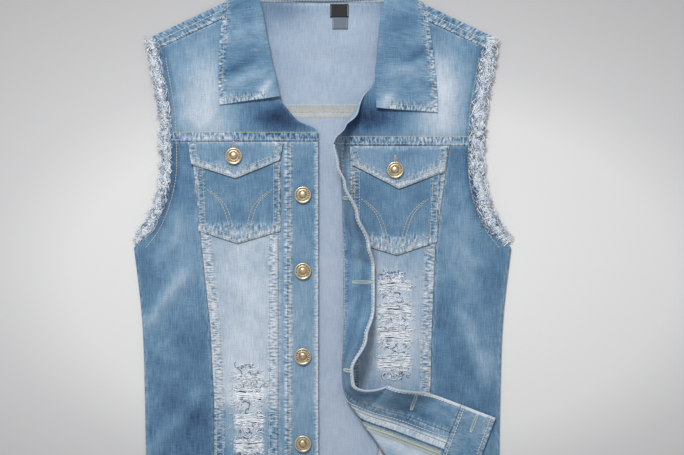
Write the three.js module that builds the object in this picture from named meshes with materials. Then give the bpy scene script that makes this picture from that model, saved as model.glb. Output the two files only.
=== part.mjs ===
// A sleeveless denim jacket, unbuttoned and laid flat on its back. Millimetres, +Z up, the collar
// towards +Y. "Left" and "right" are the wearer's, so the left front lies at +X.
// The back lies on the surface, the fronts lie on the back, and the left front's edge is turned
// out, stands up in a curl and ends in a lower corner that is folded over onto the front.

import * as THREE from "three";

// Driving sizes
const CLOTH = 1.2; // one layer of denim
const HALF_CLOTH = CLOTH / 2;
const DOUBLED = 0.8; // what a second layer adds to the outer face of a placket or waistband
const SEAM_GAP = 0.3; // between two pieces that are sewn together
const HALF_GAP = SEAM_GAP / 2;
const HEM_Y = -344;
const WAISTBAND_Y = -300; // seam that the waistband hangs from
const BACK_YOKE_Y = 176;
const ARMPIT_Y = 18;
const BACK_LEVEL = HALF_CLOTH; // middle of the back's cloth above the surface
const SIDE_LEVEL = BACK_LEVEL + CLOTH + SEAM_GAP; // middle of the front's cloth at the side seam
const FRONT_LEVEL = 3.6; // middle of the front's cloth at the shoulders
const LOFT = 1.6; // how far the middle of each front stands higher
const LEAF_LIFT = 1.9; // room for the collar's leaf below the back of the neck

const DENIM = { color: 0x6f94b4, roughness: 0.92, metalness: 0 };
const PALE_DENIM = { color: 0xb4c2d2, roughness: 0.92, metalness: 0 };
const FRAYED = { color: 0xdfe4e8, roughness: 0.95, metalness: 0 };
const BRASS = { color: 0xc9a66b, roughness: 0.35, metalness: 0.9 };
const BLACK_SATIN = { color: 0x23252b, roughness: 0.6, metalness: 0 };
const GREY_TAPE = { color: 0x8c98a4, roughness: 0.8, metalness: 0 };

// Half of the outline, as distances from the centre line
const ARMHOLE = [
  [203, 264],
  [195, 218],
  [188, 178],
  [186, 140],
  [186, 104],
  [192, 72],
  [205, 40],
  [222, ARMPIT_Y],
];
const SIDE_SEAM = [
  [226, 13],
  [216.5, -70],
  [213, -160],
  [210, HEM_Y],
];
const SHOULDER = { neckX: 88, neckY: 317.9, tipX: 203, tipY: 264 }; // fold from back to front
const SHOULDER_BAND = 14; // how far the back yoke reaches onto the front

// The two fronts. Across values are distances from the centre line towards the side seam.
const RIGHT = {
  name: "right",
  sign: -1,
  place: onRightFront,
  creases: [],
  edge: 5,
  yokeY: 140,
  placketSeam: 41,
  innerSeam: 53,
  sideSeam: [
    [158, 140],
    [146, 30],
    [134, -83],
    [129.5, -171],
    [129.5, WAISTBAND_Y],
  ],
  neck: [
    [13, 158],
    [29, 165],
    [44, 182],
    [54, 196],
    [62, 222],
    [73, 265],
    [84, 303],
  ],
  pocket: { inner: 50, outer: 152, topY: 116, cornerY: 33, tipX: 101.6, tipY: 18 },
  flap: { inner: 47, outer: 161, innerY: 118, outerY: 113, tipX: 104, tipY: 96 },
  flapButton: [106, 122.6],
  rip: { inner: 72, outer: 104, windows: [[-140, -147], [-155, -168], [-187, -199], [-217, -230]] },
};
const LEFT = {
  name: "left",
  sign: 1,
  place: onLeftFront,
  creases: [0, 5.5, 11],
  edge: -16,
  yokeY: 135,
  placketSeam: 20,
  innerSeam: 33,
  sideSeam: [
    [152, 135],
    [135, 14],
    [131, -83],
    [129, -171],
    [128.5, WAISTBAND_Y],
  ],
  neck: [
    [4, 164],
    [24, 178],
    [40, 190],
    [54, 202],
    [63, 216],
    [74, 262],
    [84, 303],
  ],
  pocket: { inner: 36, outer: 141, topY: 106, cornerY: 20, tipX: 88.8, tipY: 4 },
  flap: { inner: 32, outer: 150, innerY: 112, outerY: 104, tipX: 91.6, tipY: 83.4 },
  flapButton: [87, 106],
  rip: { inner: 67, outer: 105, windows: [[-27, -36], [-55, -70], [-84, -99], [-117, -132]] },
};

const clamp = (t) => Math.min(1, Math.max(0, t));
const smooth = (t) => clamp(t) ** 2 * (3 - 2 * clamp(t));
const radians = THREE.MathUtils.degToRad;

// Value of a column at a place along a table, eased from row to row.
function fromTable(rows, place, at, column) {
  const last = rows.length - 1;
  if (at <= rows[0][place]) return rows[0][column];
  if (at >= rows[last][place]) return rows[last][column];
  const i = rows.findIndex((row) => row[place] > at);
  const share = (at - rows[i - 1][place]) / (rows[i][place] - rows[i - 1][place]);
  return rows[i - 1][column] + smooth(share) * (rows[i][column] - rows[i - 1][column]);
}

// Distance from the centre line to a seam, given as points from top to bottom, at a height.
function seamX(seam, y) {
  if (y >= seam[0][1]) return seam[0][0];
  const found = seam.findIndex((point) => point[1] <= y);
  const i = found < 0 ? seam.length - 1 : found;
  const [above, below] = [seam[i - 1], seam[i]];
  return above[0] + ((above[1] - y) / (above[1] - below[1])) * (below[0] - above[0]);
}

// Soft folds of the fronts: a ridge or trough from one point to another.
const FRONT_FOLDS = [
  { x1: -214, y1: -84, x2: -160, y2: -14, width: 9, height: 3.4 },
  { x1: -208, y1: -62, x2: -186, y2: -58, width: 11, height: -1.2 },
  { x1: -206, y1: -232, x2: -140, y2: -150, width: 11, height: 3.2 },
  { x1: -178, y1: -90, x2: -138, y2: -124, width: 12, height: -1.4 },
  { x1: -182, y1: -176, x2: -146, y2: -196, width: 12, height: -1.4 },
  { x1: -128, y1: 2, x2: -74, y2: -46, width: 10, height: -1.3 },
  { x1: -118, y1: -18, x2: -70, y2: -66, width: 13, height: 1.8 },
  { x1: 134, y1: -78, x2: 172, y2: -86, width: 11, height: -1.4 },
  { x1: 168, y1: -66, x2: 200, y2: -150, width: 10, height: 3.0 },
  { x1: 206, y1: -210, x2: 168, y2: -290, width: 12, height: 2.4 },
  { x1: -150, y1: 230, x2: -112, y2: 186, width: 15, height: 2.2 },
  { x1: 146, y1: 236, x2: 158, y2: 170, width: 15, height: 2.2 },
];

function foldHeight(fold, x, y) {
  const dx = fold.x2 - fold.x1;
  const dy = fold.y2 - fold.y1;
  const length = Math.hypot(dx, dy);
  const along = ((x - fold.x1) * dx + (y - fold.y1) * dy) / length;
  const away = ((x - fold.x1) * dy - (y - fold.y1) * dx) / length;
  const ends = smooth(0.5 + along / 30) * smooth(0.5 + (length - along) / 30);
  return fold.height * ends * Math.exp(-((away / fold.width) ** 2));
}

// Distance past the shoulder fold, and the fold's direction away from the body.
function pastShoulder(x, y) {
  const [runX, runY] = [SHOULDER.tipX - SHOULDER.neckX, SHOULDER.tipY - SHOULDER.neckY];
  const length = Math.hypot(runX, runY);
  const [nx, ny] = [(-runY / length) * (x < 0 ? -1 : 1), runX / length];
  const beyond = (Math.abs(x) - SHOULDER.neckX) * Math.abs(nx) + (y - SHOULDER.neckY) * ny;
  return { nx, ny, beyond };
}

// How far the back of the neck, and the shoulders beside it, are lifted by the collar's leaf.
function leafLift(x, y) {
  return LEAF_LIFT * smooth((y - 236) / 24) * smooth((168 - Math.abs(x)) / 36);
}

// Height of the middle of the fronts' cloth where it lies flat.
function frontHeight(x, y) {
  const toSide = seamX(SIDE_SEAM, y) - Math.abs(x);
  const loft = LOFT * smooth(toSide / 70) * smooth((250 - y) / 90);
  const folds = FRONT_FOLDS.reduce((sum, fold) => sum + foldHeight(fold, x, y), 0);
  const free = FRONT_LEVEL + loft + folds * smooth(-pastShoulder(x, y).beyond / 30);
  const joined = smooth((60 - y) / 45) * (1 - smooth(toSide / 16));
  return free + (SIDE_LEVEL - free) * joined + leafLift(x, y);
}

// The right front only lies flat. lift is the distance out from the middle of the cloth.
function onRightFront(x, y, lift) {
  return new THREE.Vector3(x, y, frontHeight(x, y) + lift);
}

// The left front is turned about a crease: down the placket, with an arc to a slanting line at
// the neck and another at the lower corner. Turn is how far it has gone over, in degrees, by
// the distance down the crease from TURN_START_Y.
const CREASE_X = 29;
const ROLL_LENGTH = 11; // length of cloth that bends at the crease
const TURN_START_Y = 140;
const NECK_ARC = { y: 140, radius: 40, angle: radians(30), sign: 1 };
const CORNER_ARC = { y: -142, radius: 60, angle: radians(34.5), sign: -1 };
const TURNS = [
  { down: -100, turn: 1 },
  { down: -76, turn: 60 },
  { down: -54, turn: 140 },
  { down: -40, turn: 138 },
  { down: -16, turn: 96 },
  { down: 4, turn: 76 },
  { down: 30, turn: 84 },
  { down: 52, turn: 97 },
  { down: 88, turn: 121 },
  { down: 124, turn: 150 },
  { down: 150, turn: 174 },
  { down: 196, turn: 174 },
  { down: 232, turn: 142 },
  { down: 270, turn: 110 },
  { down: 288, turn: 112 },
  { down: 320, turn: 150 },
  { down: 372, turn: 180 },
];

// The crease's nearest point to a point of the pattern, its direction out towards the edge,
// how far beyond it the point lies, and how far down the crease it is.
function nearCrease(x, y) {
  const { y: startY, radius, angle, sign } = y > NECK_ARC.y ? NECK_ARC : CORNER_ARC;
  const past = sign * (y - startY);
  if (past <= 0) {
    return { x: CREASE_X, y, nx: -1, ny: 0, beyond: CREASE_X - x, down: TURN_START_Y - y };
  }
  const fromCentre = x - CREASE_X - radius;
  const swing = Math.min(Math.atan2(past, -fromCentre), angle);
  const [cos, sin] = [Math.cos(swing), Math.sin(swing)];
  const along = swing < angle ? 0 : fromCentre * sin + past * cos;
  return {
    x: CREASE_X + radius - radius * cos + along * sin,
    y: startY + sign * (radius * sin + along * cos),
    nx: -cos,
    ny: sign * sin,
    beyond: past * sin - fromCentre * cos - radius,
    down: TURN_START_Y - startY - sign * (radius * swing + along),
  };
}

function onLeftFront(x, y, lift) {
  const crease = nearCrease(x, y);
  if (crease.beyond <= 0) return new THREE.Vector3(x, y, frontHeight(x, y) + lift);
  const turn = radians(fromTable(TURNS, "down", crease.down, "turn"));
  const bent = Math.min(crease.beyond / ROLL_LENGTH, 1) * turn;
  const radius = ROLL_LENGTH / turn;
  const straight = Math.max(0, crease.beyond - ROLL_LENGTH);
  const out = (radius - lift) * Math.sin(bent) + straight * Math.cos(bent);
  const landX = crease.x + crease.nx * out;
  const landY = crease.y + crease.ny * out;
  const settle = 1 - 0.42 * smooth(straight / 70) * smooth((turn - 2.6) / 0.5);
  const rise = (radius * (1 - Math.cos(bent)) + straight * Math.sin(bent)) * settle;
  const near = frontHeight(crease.x, crease.y);
  const floor = near + (frontHeight(landX, landY) - near) * smooth(straight / 30);
  return new THREE.Vector3(landX, landY, floor + rise + lift * Math.cos(bent));
}

// The back is flat, and its yoke rolls over each shoulder onto the front. The outer face of
// the back is its underside.
const SHOULDER_ROLL = (FRONT_LEVEL - BACK_LEVEL) / 2;
const SHOULDER_BEND = Math.PI * SHOULDER_ROLL;

function onBack(x, y, lift) {
  const { nx, ny, beyond } = pastShoulder(x, y);
  const level = BACK_LEVEL + leafLift(x, y);
  if (beyond <= 0 || Math.abs(x) < SHOULDER.neckX / 2) return new THREE.Vector3(x, y, level - lift);
  const bent = Math.min(beyond / SHOULDER_BEND, 1) * Math.PI;
  const straight = Math.max(0, beyond - SHOULDER_BEND);
  const out = (SHOULDER_ROLL + lift) * Math.sin(bent) - straight - beyond;
  const [landX, landY] = [x + nx * out, y + ny * out];
  const rolled = SHOULDER_ROLL - (SHOULDER_ROLL + lift) * Math.cos(bent);
  const ending = BACK_LEVEL + leafLift(landX, landY) + rolled;
  const lying = frontHeight(landX, landY) + lift;
  return new THREE.Vector3(landX, landY, ending + (lying - ending) * smooth(straight / 12));
}

// Where a point of the front lies on the back's pattern, before the shoulder is folded.
function unfolded(x, y) {
  const { nx, ny, beyond } = pastShoulder(x, y);
  const out = SHOULDER_BEND - 2 * beyond;
  return [x + nx * out, y + ny * out];
}

// A side of a piece, as its points. Each stretch is a smooth curve through its points, in rows
// steps, and stretches meet at corners.
function side(...stretches) {
  const points = [];
  for (const { through, rows } of stretches) {
    const curve = new THREE.SplineCurve(through.map(([x, y]) => new THREE.Vector2(x, y)));
    const sampled = curve.getSpacedPoints(rows);
    points.push(...(points.length ? sampled.slice(1) : sampled));
  }
  return points;
}

const line = (through, rows) => side({ through, rows });
const mirrored = (points, sign) => points.map(([x, y]) => [x * sign, y]);

// Four-cornered cells that fill the space between four sides. Every side runs from left to
// right or from bottom to top as seen from above. keep leaves cells out by column and row.
function fill({ bottom, top, left, right }, keep = () => true) {
  const [across, up] = [bottom.length - 1, left.length - 1];
  const point = (i, j) => {
    const [u, v] = [i / across, j / up];
    const mix = (axis) =>
      (1 - v) * bottom[i][axis] +
      v * top[i][axis] +
      (1 - u) * left[j][axis] +
      u * right[j][axis] -
      (1 - u) * (1 - v) * bottom[0][axis] -
      u * (1 - v) * bottom[across][axis] -
      (1 - u) * v * top[0][axis] -
      u * v * top[across][axis];
    return [mix("x"), mix("y")];
  };
  const cells = [];
  for (let i = 0; i < across; i++) {
    for (let j = 0; j < up; j++) {
      if (!keep(i, j)) continue;
      cells.push([point(i, j), point(i + 1, j), point(i + 1, j + 1), point(i, j + 1)]);
    }
  }
  return cells;
}

// The same for a piece of one half, with its sides given as distances from the centre line.
function fillHalf(sign, { inner, outer, bottom, top }, keep) {
  if (sign > 0) return fill({ bottom, top, left: inner, right: outer }, keep);
  const flip = (points) => points.map((p) => new THREE.Vector2(-p.x, p.y));
  const sides = {
    bottom: flip(bottom).reverse(),
    top: flip(top).reverse(),
    left: flip(outer),
    right: flip(inner),
  };
  const last = bottom.length - 2;
  return fill(sides, (i, j) => (keep ? keep(last - i, j) : true));
}

// Cuts every cell along a line, given by its normal and its distance from the origin.
function cutCells(cells, { nx, ny, at }) {
  const touching = 1e-3;
  return cells.flatMap((cell) => {
    const off = cell.map(([x, y]) => nx * x + ny * y - at);
    if (off.every((d) => d > -touching) || off.every((d) => d < touching)) return [cell];
    const [low, high] = [[], []];
    cell.forEach((point, i) => {
      const j = (i + 1) % cell.length;
      if (off[i] <= touching) low.push(point);
      if (off[i] >= -touching) high.push(point);
      if (Math.min(off[i], off[j]) < -touching && Math.max(off[i], off[j]) > touching) {
        const share = off[i] / (off[i] - off[j]);
        const crossing = point.map((value, axis) => value + share * (cell[j][axis] - value));
        low.push(crossing);
        high.push(crossing);
      }
    });
    return [low, high];
  });
}

// Cuts cells along the left front's crease, so that the cloth bends there.
function cutAtCrease(cells, beyonds) {
  return beyonds.reduce((cut, beyond) => {
    const straight = { nx: 1, ny: 0, at: CREASE_X - beyond };
    const { y, radius, angle } = CORNER_ARC;
    const [nx, ny] = [-Math.cos(angle), -Math.sin(angle)];
    const at = nx * (CREASE_X + radius) + ny * y + radius + beyond;
    return cutCells(cutCells(cut, straight), { nx, ny, at });
  }, cells);
}

// A geometry from its points and triangles, turned right side out.
function closedBody(positions, faces) {
  const [a, b, c] = [new THREE.Vector3(), new THREE.Vector3(), new THREE.Vector3()];
  let volume = 0;
  for (let i = 0; i < faces.length; i += 3) {
    [a, b, c].forEach((corner, k) => corner.fromArray(positions, 3 * faces[i + k]));
    volume += a.dot(b.cross(c));
  }
  const geometry = new THREE.BufferGeometry();
  geometry.setAttribute("position", new THREE.Float32BufferAttribute(positions, 3));
  geometry.setIndex(volume < 0 ? faces.slice().reverse() : faces);
  return geometry;
}

const GRID = 200; // steps in a millimetre, within which two points of a pattern are one

// A closed wall of cloth over the cells of a pattern. Its outer and inner faces are the cells
// placed at two lifts, and a rim joins them along every open edge. relief raises the outer face.
function clothOver(cells, place, inner = -HALF_CLOTH, outer = HALF_CLOTH, relief = () => 0) {
  const pattern = new Map();
  const index = ([x, y]) => {
    const [column, row] = [Math.round(x * GRID), Math.round(y * GRID)];
    for (const i of [0, -1, 1]) {
      for (const j of [0, -1, 1]) {
        const known = pattern.get(column + i + "," + (row + j));
        if (known) return known.id;
      }
    }
    pattern.set(column + "," + row, { id: pattern.size, x, y });
    return pattern.size - 1;
  };
  const triangles = cells.flatMap((cell) => {
    const corners = cell.map(index).filter((id, i, ids) => id !== ids[(i + 1) % ids.length]);
    return corners.slice(2).map((id, i) => [corners[0], corners[i + 1], id]);
  });
  const points = [...pattern.values()];
  const count = points.length;
  const over = points.flatMap(({ x, y }) => place(x, y, outer + relief(x, y)).toArray());
  const under = points.flatMap(({ x, y }) => place(x, y, inner).toArray());
  const edges = new Set(triangles.flatMap(([a, b, c]) => [a + "," + b, b + "," + c, c + "," + a]));
  const rim = [...edges]
    .map((edge) => edge.split(",").map(Number))
    .filter(([a, b]) => !edges.has(b + "," + a))
    .flatMap(([a, b]) => [b, a, a + count, b, a + count, b + count]);
  const faces = triangles.flatMap(([a, b, c]) => [a, b, c, c + count, b + count, a + count]);
  return closedBody([...over, ...under], [...faces, ...rim]);
}

// A closed wall of a given thickness about a grid of points.
function wallAbout(grid, thickness) {
  const [rows, columns] = [grid.length, grid[0].length];
  const normalAt = (i, j) => {
    const down = grid[Math.min(i + 1, rows - 1)][j].clone().sub(grid[Math.max(i - 1, 0)][j]);
    const across = grid[i][Math.min(j + 1, columns - 1)].clone().sub(grid[i][Math.max(j - 1, 0)]);
    return across.cross(down).normalize();
  };
  const positions = [thickness / 2, -thickness / 2].flatMap((half) =>
    grid.flatMap((row, i) =>
      row.flatMap((point, j) => point.clone().addScaledVector(normalAt(i, j), half).toArray()),
    ),
  );
  const count = rows * columns;
  const at = (i, j) => i * columns + j;
  const faces = [];
  const quad = (a, b, c, d) => faces.push(a, b, c, a, c, d);
  for (let i = 0; i < rows - 1; i++) {
    for (let j = 0; j < columns - 1; j++) {
      const corners = [at(i, j), at(i, j + 1), at(i + 1, j + 1), at(i + 1, j)];
      quad(...corners);
      quad(...corners.map((id) => id + count).reverse());
    }
  }
  const loop = [];
  for (let j = 0; j < columns - 1; j++) loop.push(at(0, j));
  for (let i = 0; i < rows - 1; i++) loop.push(at(i, columns - 1));
  for (let j = columns - 1; j > 0; j--) loop.push(at(rows - 1, j));
  for (let i = rows - 1; i > 0; i--) loop.push(at(i, 0));
  loop.forEach((a, i) => {
    const b = loop[(i + 1) % loop.length];
    quad(b, a, a + count, b + count);
  });
  return closedBody(positions, faces);
}

const vest = new THREE.Group();

function addPiece(name, geometry, finish) {
  const mesh = new THREE.Mesh(geometry, new THREE.MeshStandardMaterial(finish));
  mesh.name = name;
  vest.add(mesh);
  return mesh;
}

const armholeCurve = new THREE.SplineCurve(ARMHOLE.map(([x, y]) => new THREE.Vector2(x, y)));
const armholePoints = armholeCurve.getSpacedPoints(300).reverse();

// The armhole's edge between two heights, from bottom to top.
function armholeBetween(low, high) {
  const nearest = (y) =>
    armholePoints.reduce((a, b) => (Math.abs(b.y - y) < Math.abs(a.y - y) ? b : a)).x;
  const between = armholePoints.filter((p, i) => i % 20 === 0 && p.y > low + 3 && p.y < high - 3);
  return [[nearest(low), low], ...between.map((p) => [p.x, p.y]), [nearest(high), high]];
}

// Back: a centre panel and two side panels that narrow to the waist, a waistband, and a yoke.
const BACK_SEAM = { topX: 100, footX: 61 };

function addBackPanels() {
  const [low, high] = [WAISTBAND_Y + HALF_GAP, BACK_YOKE_Y - HALF_GAP];
  const inner = [BACK_SEAM.footX - HALF_GAP, BACK_SEAM.topX - HALF_GAP];
  const centre = fill({
    bottom: line([[-inner[0], low], [inner[0], low]], 4),
    top: line([[-inner[1], high], [inner[1], high]], 4),
    left: line([[-inner[0], low], [-inner[1], high]], 8),
    right: line([[inner[0], low], [inner[1], high]], 8),
  });
  addPiece("back_centre_panel", clothOver(centre, onBack), PALE_DENIM);
  const [footX, topX] = [inner[0] + SEAM_GAP, inner[1] + SEAM_GAP];
  const armhole = armholeBetween(ARMPIT_Y, high);
  for (const { name, sign } of [LEFT, RIGHT]) {
    const panel = fillHalf(sign, {
      inner: line([[footX, low], [topX, high]], 18),
      outer: side(
        { through: [[seamX(SIDE_SEAM, low), low], ...SIDE_SEAM.slice(0, 3).reverse()], rows: 8 },
        { through: [SIDE_SEAM[0], armhole[0]], rows: 1 },
        { through: armhole, rows: 9 },
      ),
      bottom: line([[footX, low], [seamX(SIDE_SEAM, low), low]], 3),
      top: line([[topX, high], armhole[armhole.length - 1]], 3),
    });
    addPiece(`back_${name}_side_panel`, clothOver(panel, onBack), DENIM);
  }
}

function addBackWaistband() {
  const [low, high] = [HEM_Y, WAISTBAND_Y - HALF_GAP];
  const [lowX, highX] = [seamX(SIDE_SEAM, low), seamX(SIDE_SEAM, high)];
  const band = fill({
    bottom: line([[-lowX, low], [lowX, low]], 12),
    top: line([[-highX, high], [highX, high]], 12),
    left: line([[-lowX, low], [-highX, high]], 1),
    right: line([[lowX, low], [highX, high]], 1),
  });
  addPiece("back_waistband", clothOver(band, onBack), DENIM);
}

// The yoke's pattern reaches past each shoulder fold by the roll and the band on the front.
function addBackYoke() {
  const low = BACK_YOKE_Y + HALF_GAP;
  const armhole = armholeBetween(low, SHOULDER.tipY);
  const neckX = SHOULDER.neckX + 5; // the shoulder's band stops short of the collar
  const slope = (SHOULDER.tipY - SHOULDER.neckY) / (SHOULDER.tipX - SHOULDER.neckX);
  const neck = [neckX, SHOULDER.neckY + slope * (neckX - SHOULDER.neckX)];
  const tip = [SHOULDER.tipX, SHOULDER.tipY];
  const columns = 4;
  const flat = fill({
    bottom: side(
      { through: [[-armhole[0][0], low], [-80, low]], rows: columns },
      { through: [[-80, low], [80, low]], rows: 6 },
      { through: [[80, low], armhole[0]], rows: columns },
    ),
    top: side(
      { through: mirrored([tip, neck], -1), rows: columns },
      { through: [...mirrored([neck, [62, 309.5]], -1), [0, 306], [62, 309.5], neck], rows: 6 },
      { through: [neck, tip], rows: columns },
    ),
    left: line(mirrored(armhole, -1), 6),
    right: line(armhole, 6),
  });
  const { nx, ny } = pastShoulder(...neck);
  const steps = [0, 0.25, 0.5, 0.75, 1].map((share) => share * SHOULDER_BEND);
  steps.push(SHOULDER_BEND + SHOULDER_BAND / 2, SHOULDER_BEND + SHOULDER_BAND);
  const over = [1, -1].flatMap((sign) => {
    const at = (i, out) => {
      const share = i / columns;
      const x = neck[0] + share * (tip[0] - neck[0]) + nx * out;
      return [sign * x, neck[1] + share * (tip[1] - neck[1]) + ny * out];
    };
    const cells = [];
    for (let i = 0; i < columns; i++) {
      steps.slice(1).forEach((far, j) => {
        const near = steps[j];
        const cell = [at(i, near), at(i + 1, near), at(i + 1, far), at(i, far)];
        cells.push(sign > 0 ? cell : cell.reverse());
      });
    }
    return cells;
  });
  addPiece("back_yoke", clothOver([...flat, ...over], onBack), PALE_DENIM);
}

// Fronts: a yoke over a placket, a narrow inner panel, a centre panel and a side panel.
function addFrontYoke(front) {
  const low = front.yokeY + HALF_GAP;
  const { nx, ny } = pastShoulder(SHOULDER.neckX, SHOULDER.neckY);
  const down = SHOULDER_BAND + SEAM_GAP;
  const tip = [SHOULDER.tipX - nx * down, SHOULDER.tipY - ny * down];
  const armhole = [...armholeBetween(low, tip[1] - 12), tip];
  const edgeTop = [front.edge, low + 12];
  const cells = fillHalf(front.sign, {
    bottom: line([[front.edge, low], armhole[0]], 9),
    top: line([front.neck[6], tip], 9),
    inner: side(
      { through: [[front.edge, low], edgeTop], rows: 1 },
      { through: [edgeTop, ...front.neck], rows: 10 },
    ),
    outer: line(armhole, 11),
  });
  const cut = front.creases.reduce((all, beyond) => cutCells(all, creaseAtNeck(beyond)), cells);
  addPiece(`${front.name}_front_yoke`, clothOver(cut, front.place), PALE_DENIM);
}

function creaseAtNeck(beyond) {
  const { y, radius, angle } = NECK_ARC;
  const [nx, ny] = [-Math.cos(angle), Math.sin(angle)];
  return { nx, ny, at: nx * (CREASE_X + radius) + ny * y + radius + beyond };
}

function addPlacket(front) {
  const [low, high] = [WAISTBAND_Y + SEAM_GAP, front.yokeY - HALF_GAP];
  const [near, far] = [front.edge, front.placketSeam];
  const cells = fillHalf(front.sign, {
    bottom: line([[near, low], [far, low]], 2),
    top: line([[near, high], [far, high]], 2),
    inner: line([[near, low], [near, high]], 20),
    outer: line([[far, low], [far, high]], 20),
  });
  const cut = cutAtCrease(cells, front.creases);
  const wall = clothOver(cut, front.place, -HALF_CLOTH, HALF_CLOTH + DOUBLED);
  addPiece(`${front.name}_placket`, wall, DENIM);
}

function addInnerPanel(front) {
  const [low, high] = [WAISTBAND_Y + SEAM_GAP, front.yokeY - HALF_GAP];
  const [near, far] = [front.placketSeam + SEAM_GAP, front.innerSeam];
  const cells = fillHalf(front.sign, {
    bottom: line([[near, low], [far, low]], 1),
    top: line([[near, high], [far, high]], 1),
    inner: line([[near, low], [near, high]], 20),
    outer: line([[far, low], [far, high]], 20),
  });
  const cut = cutAtCrease(cells, front.creases);
  addPiece(`${front.name}_inner_panel`, clothOver(cut, front.place), DENIM);
}

// The centre panel has windows where the cloth is worn through, over loose weft threads.
function addCentrePanel(front) {
  const [low, high] = [WAISTBAND_Y + SEAM_GAP, front.yokeY - HALF_GAP];
  const near = front.innerSeam + SEAM_GAP;
  const { inner, outer, windows } = front.rip;
  const knots = front.sideSeam.slice(1, -1).map((point) => point[1]);
  const clear = (y) => windows.every(([top, foot]) => y > top + 3 || y < foot - 3);
  const between = [90, 0, -262, ...knots].filter(clear);
  const levels = [low, high, ...between, ...windows.flat()].sort((a, b) => a - b);
  const isWindow = (j) => windows.some(([top, foot]) => levels[j] === foot && levels[j + 1] === top);
  const across = (y) =>
    [near, inner, (inner + outer) / 2, outer, seamX(front.sideSeam, y)].map(
      (x) => new THREE.Vector2(x, y),
    );
  const sides = {
    bottom: across(low),
    top: across(high),
    inner: levels.map((y) => new THREE.Vector2(near, y)),
    outer: levels.map((y) => new THREE.Vector2(seamX(front.sideSeam, y), y)),
  };
  const cells = fillHalf(front.sign, sides, (i, j) => !(isWindow(j) && (i === 1 || i === 2)));
  const cut = cutAtCrease(cells, front.creases);
  addPiece(`${front.name}_centre_panel`, clothOver(cut, front.place), PALE_DENIM);
}

// Bundles of weft thread: a thin sheet below the windows with a ridge for every bundle.
const BUNDLE_PITCH = 8;

function addRipThreads(front) {
  const { windows, inner, outer } = front.rip;
  const [high, low] = [windows[0][0] + 6, windows[windows.length - 1][1] - 6];
  const rows = 2 * Math.round((high - low) / BUNDLE_PITCH);
  const [near, far] = [inner - 5, outer + 5];
  const cells = fillHalf(front.sign, {
    bottom: line([[near, low], [far, low]], 1),
    top: line([[near, high], [far, high]], 1),
    inner: line([[near, low], [near, high]], rows),
    outer: line([[far, low], [far, high]], rows),
  });
  const ridge = (x, y) => (Math.round((rows * (y - low)) / (high - low)) % 2 ? 0.4 : 0);
  const below = -HALF_CLOTH - SEAM_GAP;
  const sheet = clothOver(cells, front.place, below - 1.4, below - 0.4, ridge);
  addPiece(`${front.name}_rip_threads`, sheet, FRAYED);
}

function addSidePanel(front) {
  const [low, high] = [WAISTBAND_Y + SEAM_GAP, front.yokeY - HALF_GAP];
  const seam = front.sideSeam.map(([x, y]) => [x + 2 * SEAM_GAP, y]).reverse();
  seam[0][1] = low;
  seam[seam.length - 1][1] = high;
  const stretches = seam.slice(1).map((point, i) => ({ through: [seam[i], point], rows: 5 }));
  const armhole = armholeBetween(ARMPIT_Y, high);
  const cells = fillHalf(front.sign, {
    inner: side(...stretches),
    outer: side(
      { through: [[seamX(SIDE_SEAM, low), low], ...SIDE_SEAM.slice(0, 3).reverse()], rows: 13 },
      { through: [SIDE_SEAM[0], armhole[0]], rows: 1 },
      { through: armhole, rows: 6 },
    ),
    bottom: line([seam[0], [seamX(SIDE_SEAM, low), low]], 5),
    top: line([seam[seam.length - 1], armhole[armhole.length - 1]], 5),
  });
  const cut = cutAtCrease(cells, front.creases);
  addPiece(`${front.name}_side_panel`, clothOver(cut, front.place), DENIM);
}

function addFrontWaistband(front) {
  const [low, high] = [HEM_Y, WAISTBAND_Y - SEAM_GAP];
  const cells = fillHalf(front.sign, {
    bottom: line([[front.edge, low], [seamX(SIDE_SEAM, low), low]], 12),
    top: line([[front.edge, high], [seamX(SIDE_SEAM, high), high]], 12),
    inner: line([[front.edge, low], [front.edge, high]], 1),
    outer: line([[seamX(SIDE_SEAM, low), low], [seamX(SIDE_SEAM, high), high]], 1),
  });
  const cut = cutAtCrease(cells, front.creases);
  const wall = clothOver(cut, front.place, -HALF_CLOTH, HALF_CLOTH + DOUBLED);
  addPiece(`${front.name}_front_waistband`, wall, DENIM);
}

// A pocket lies on the centre panel, and its pointed flap lies on the pocket.
const POCKET_LIFT = HALF_CLOTH + SEAM_GAP;
const FLAP_LIFT = POCKET_LIFT + CLOTH + SEAM_GAP;
const FLAP_THICKNESS = 1.6;

function addPocketAndFlap(front) {
  const { pocket, flap } = front;
  const bag = fillHalf(front.sign, {
    bottom: side(
      { through: [[pocket.inner, pocket.cornerY], [pocket.tipX, pocket.tipY]], rows: 3 },
      { through: [[pocket.tipX, pocket.tipY], [pocket.outer - 4, pocket.cornerY]], rows: 3 },
    ),
    top: line([[pocket.inner, pocket.topY], [pocket.outer, pocket.topY]], 6),
    inner: line([[pocket.inner, pocket.cornerY], [pocket.inner, pocket.topY]], 5),
    outer: line([[pocket.outer - 4, pocket.cornerY], [pocket.outer, pocket.topY]], 5),
  });
  const bagWall = clothOver(bag, front.place, POCKET_LIFT, POCKET_LIFT + CLOTH);
  addPiece(`${front.name}_pocket`, bagWall, DENIM);
  const top = front.yokeY - 1;
  const cover = fillHalf(front.sign, {
    bottom: side(
      { through: [[flap.inner + 4, flap.innerY], [flap.tipX, flap.tipY]], rows: 3 },
      { through: [[flap.tipX, flap.tipY], [flap.outer - 4, flap.outerY]], rows: 3 },
    ),
    top: line([[flap.inner, top], [flap.outer, top]], 6),
    inner: line([[flap.inner + 4, flap.innerY], [flap.inner, top]], 3),
    outer: line([[flap.outer - 4, flap.outerY], [flap.outer, top]], 3),
  });
  const flapWall = clothOver(cover, front.place, FLAP_LIFT, FLAP_LIFT + FLAP_THICKNESS);
  addPiece(`${front.name}_pocket_flap`, flapWall, DENIM);
}

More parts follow.
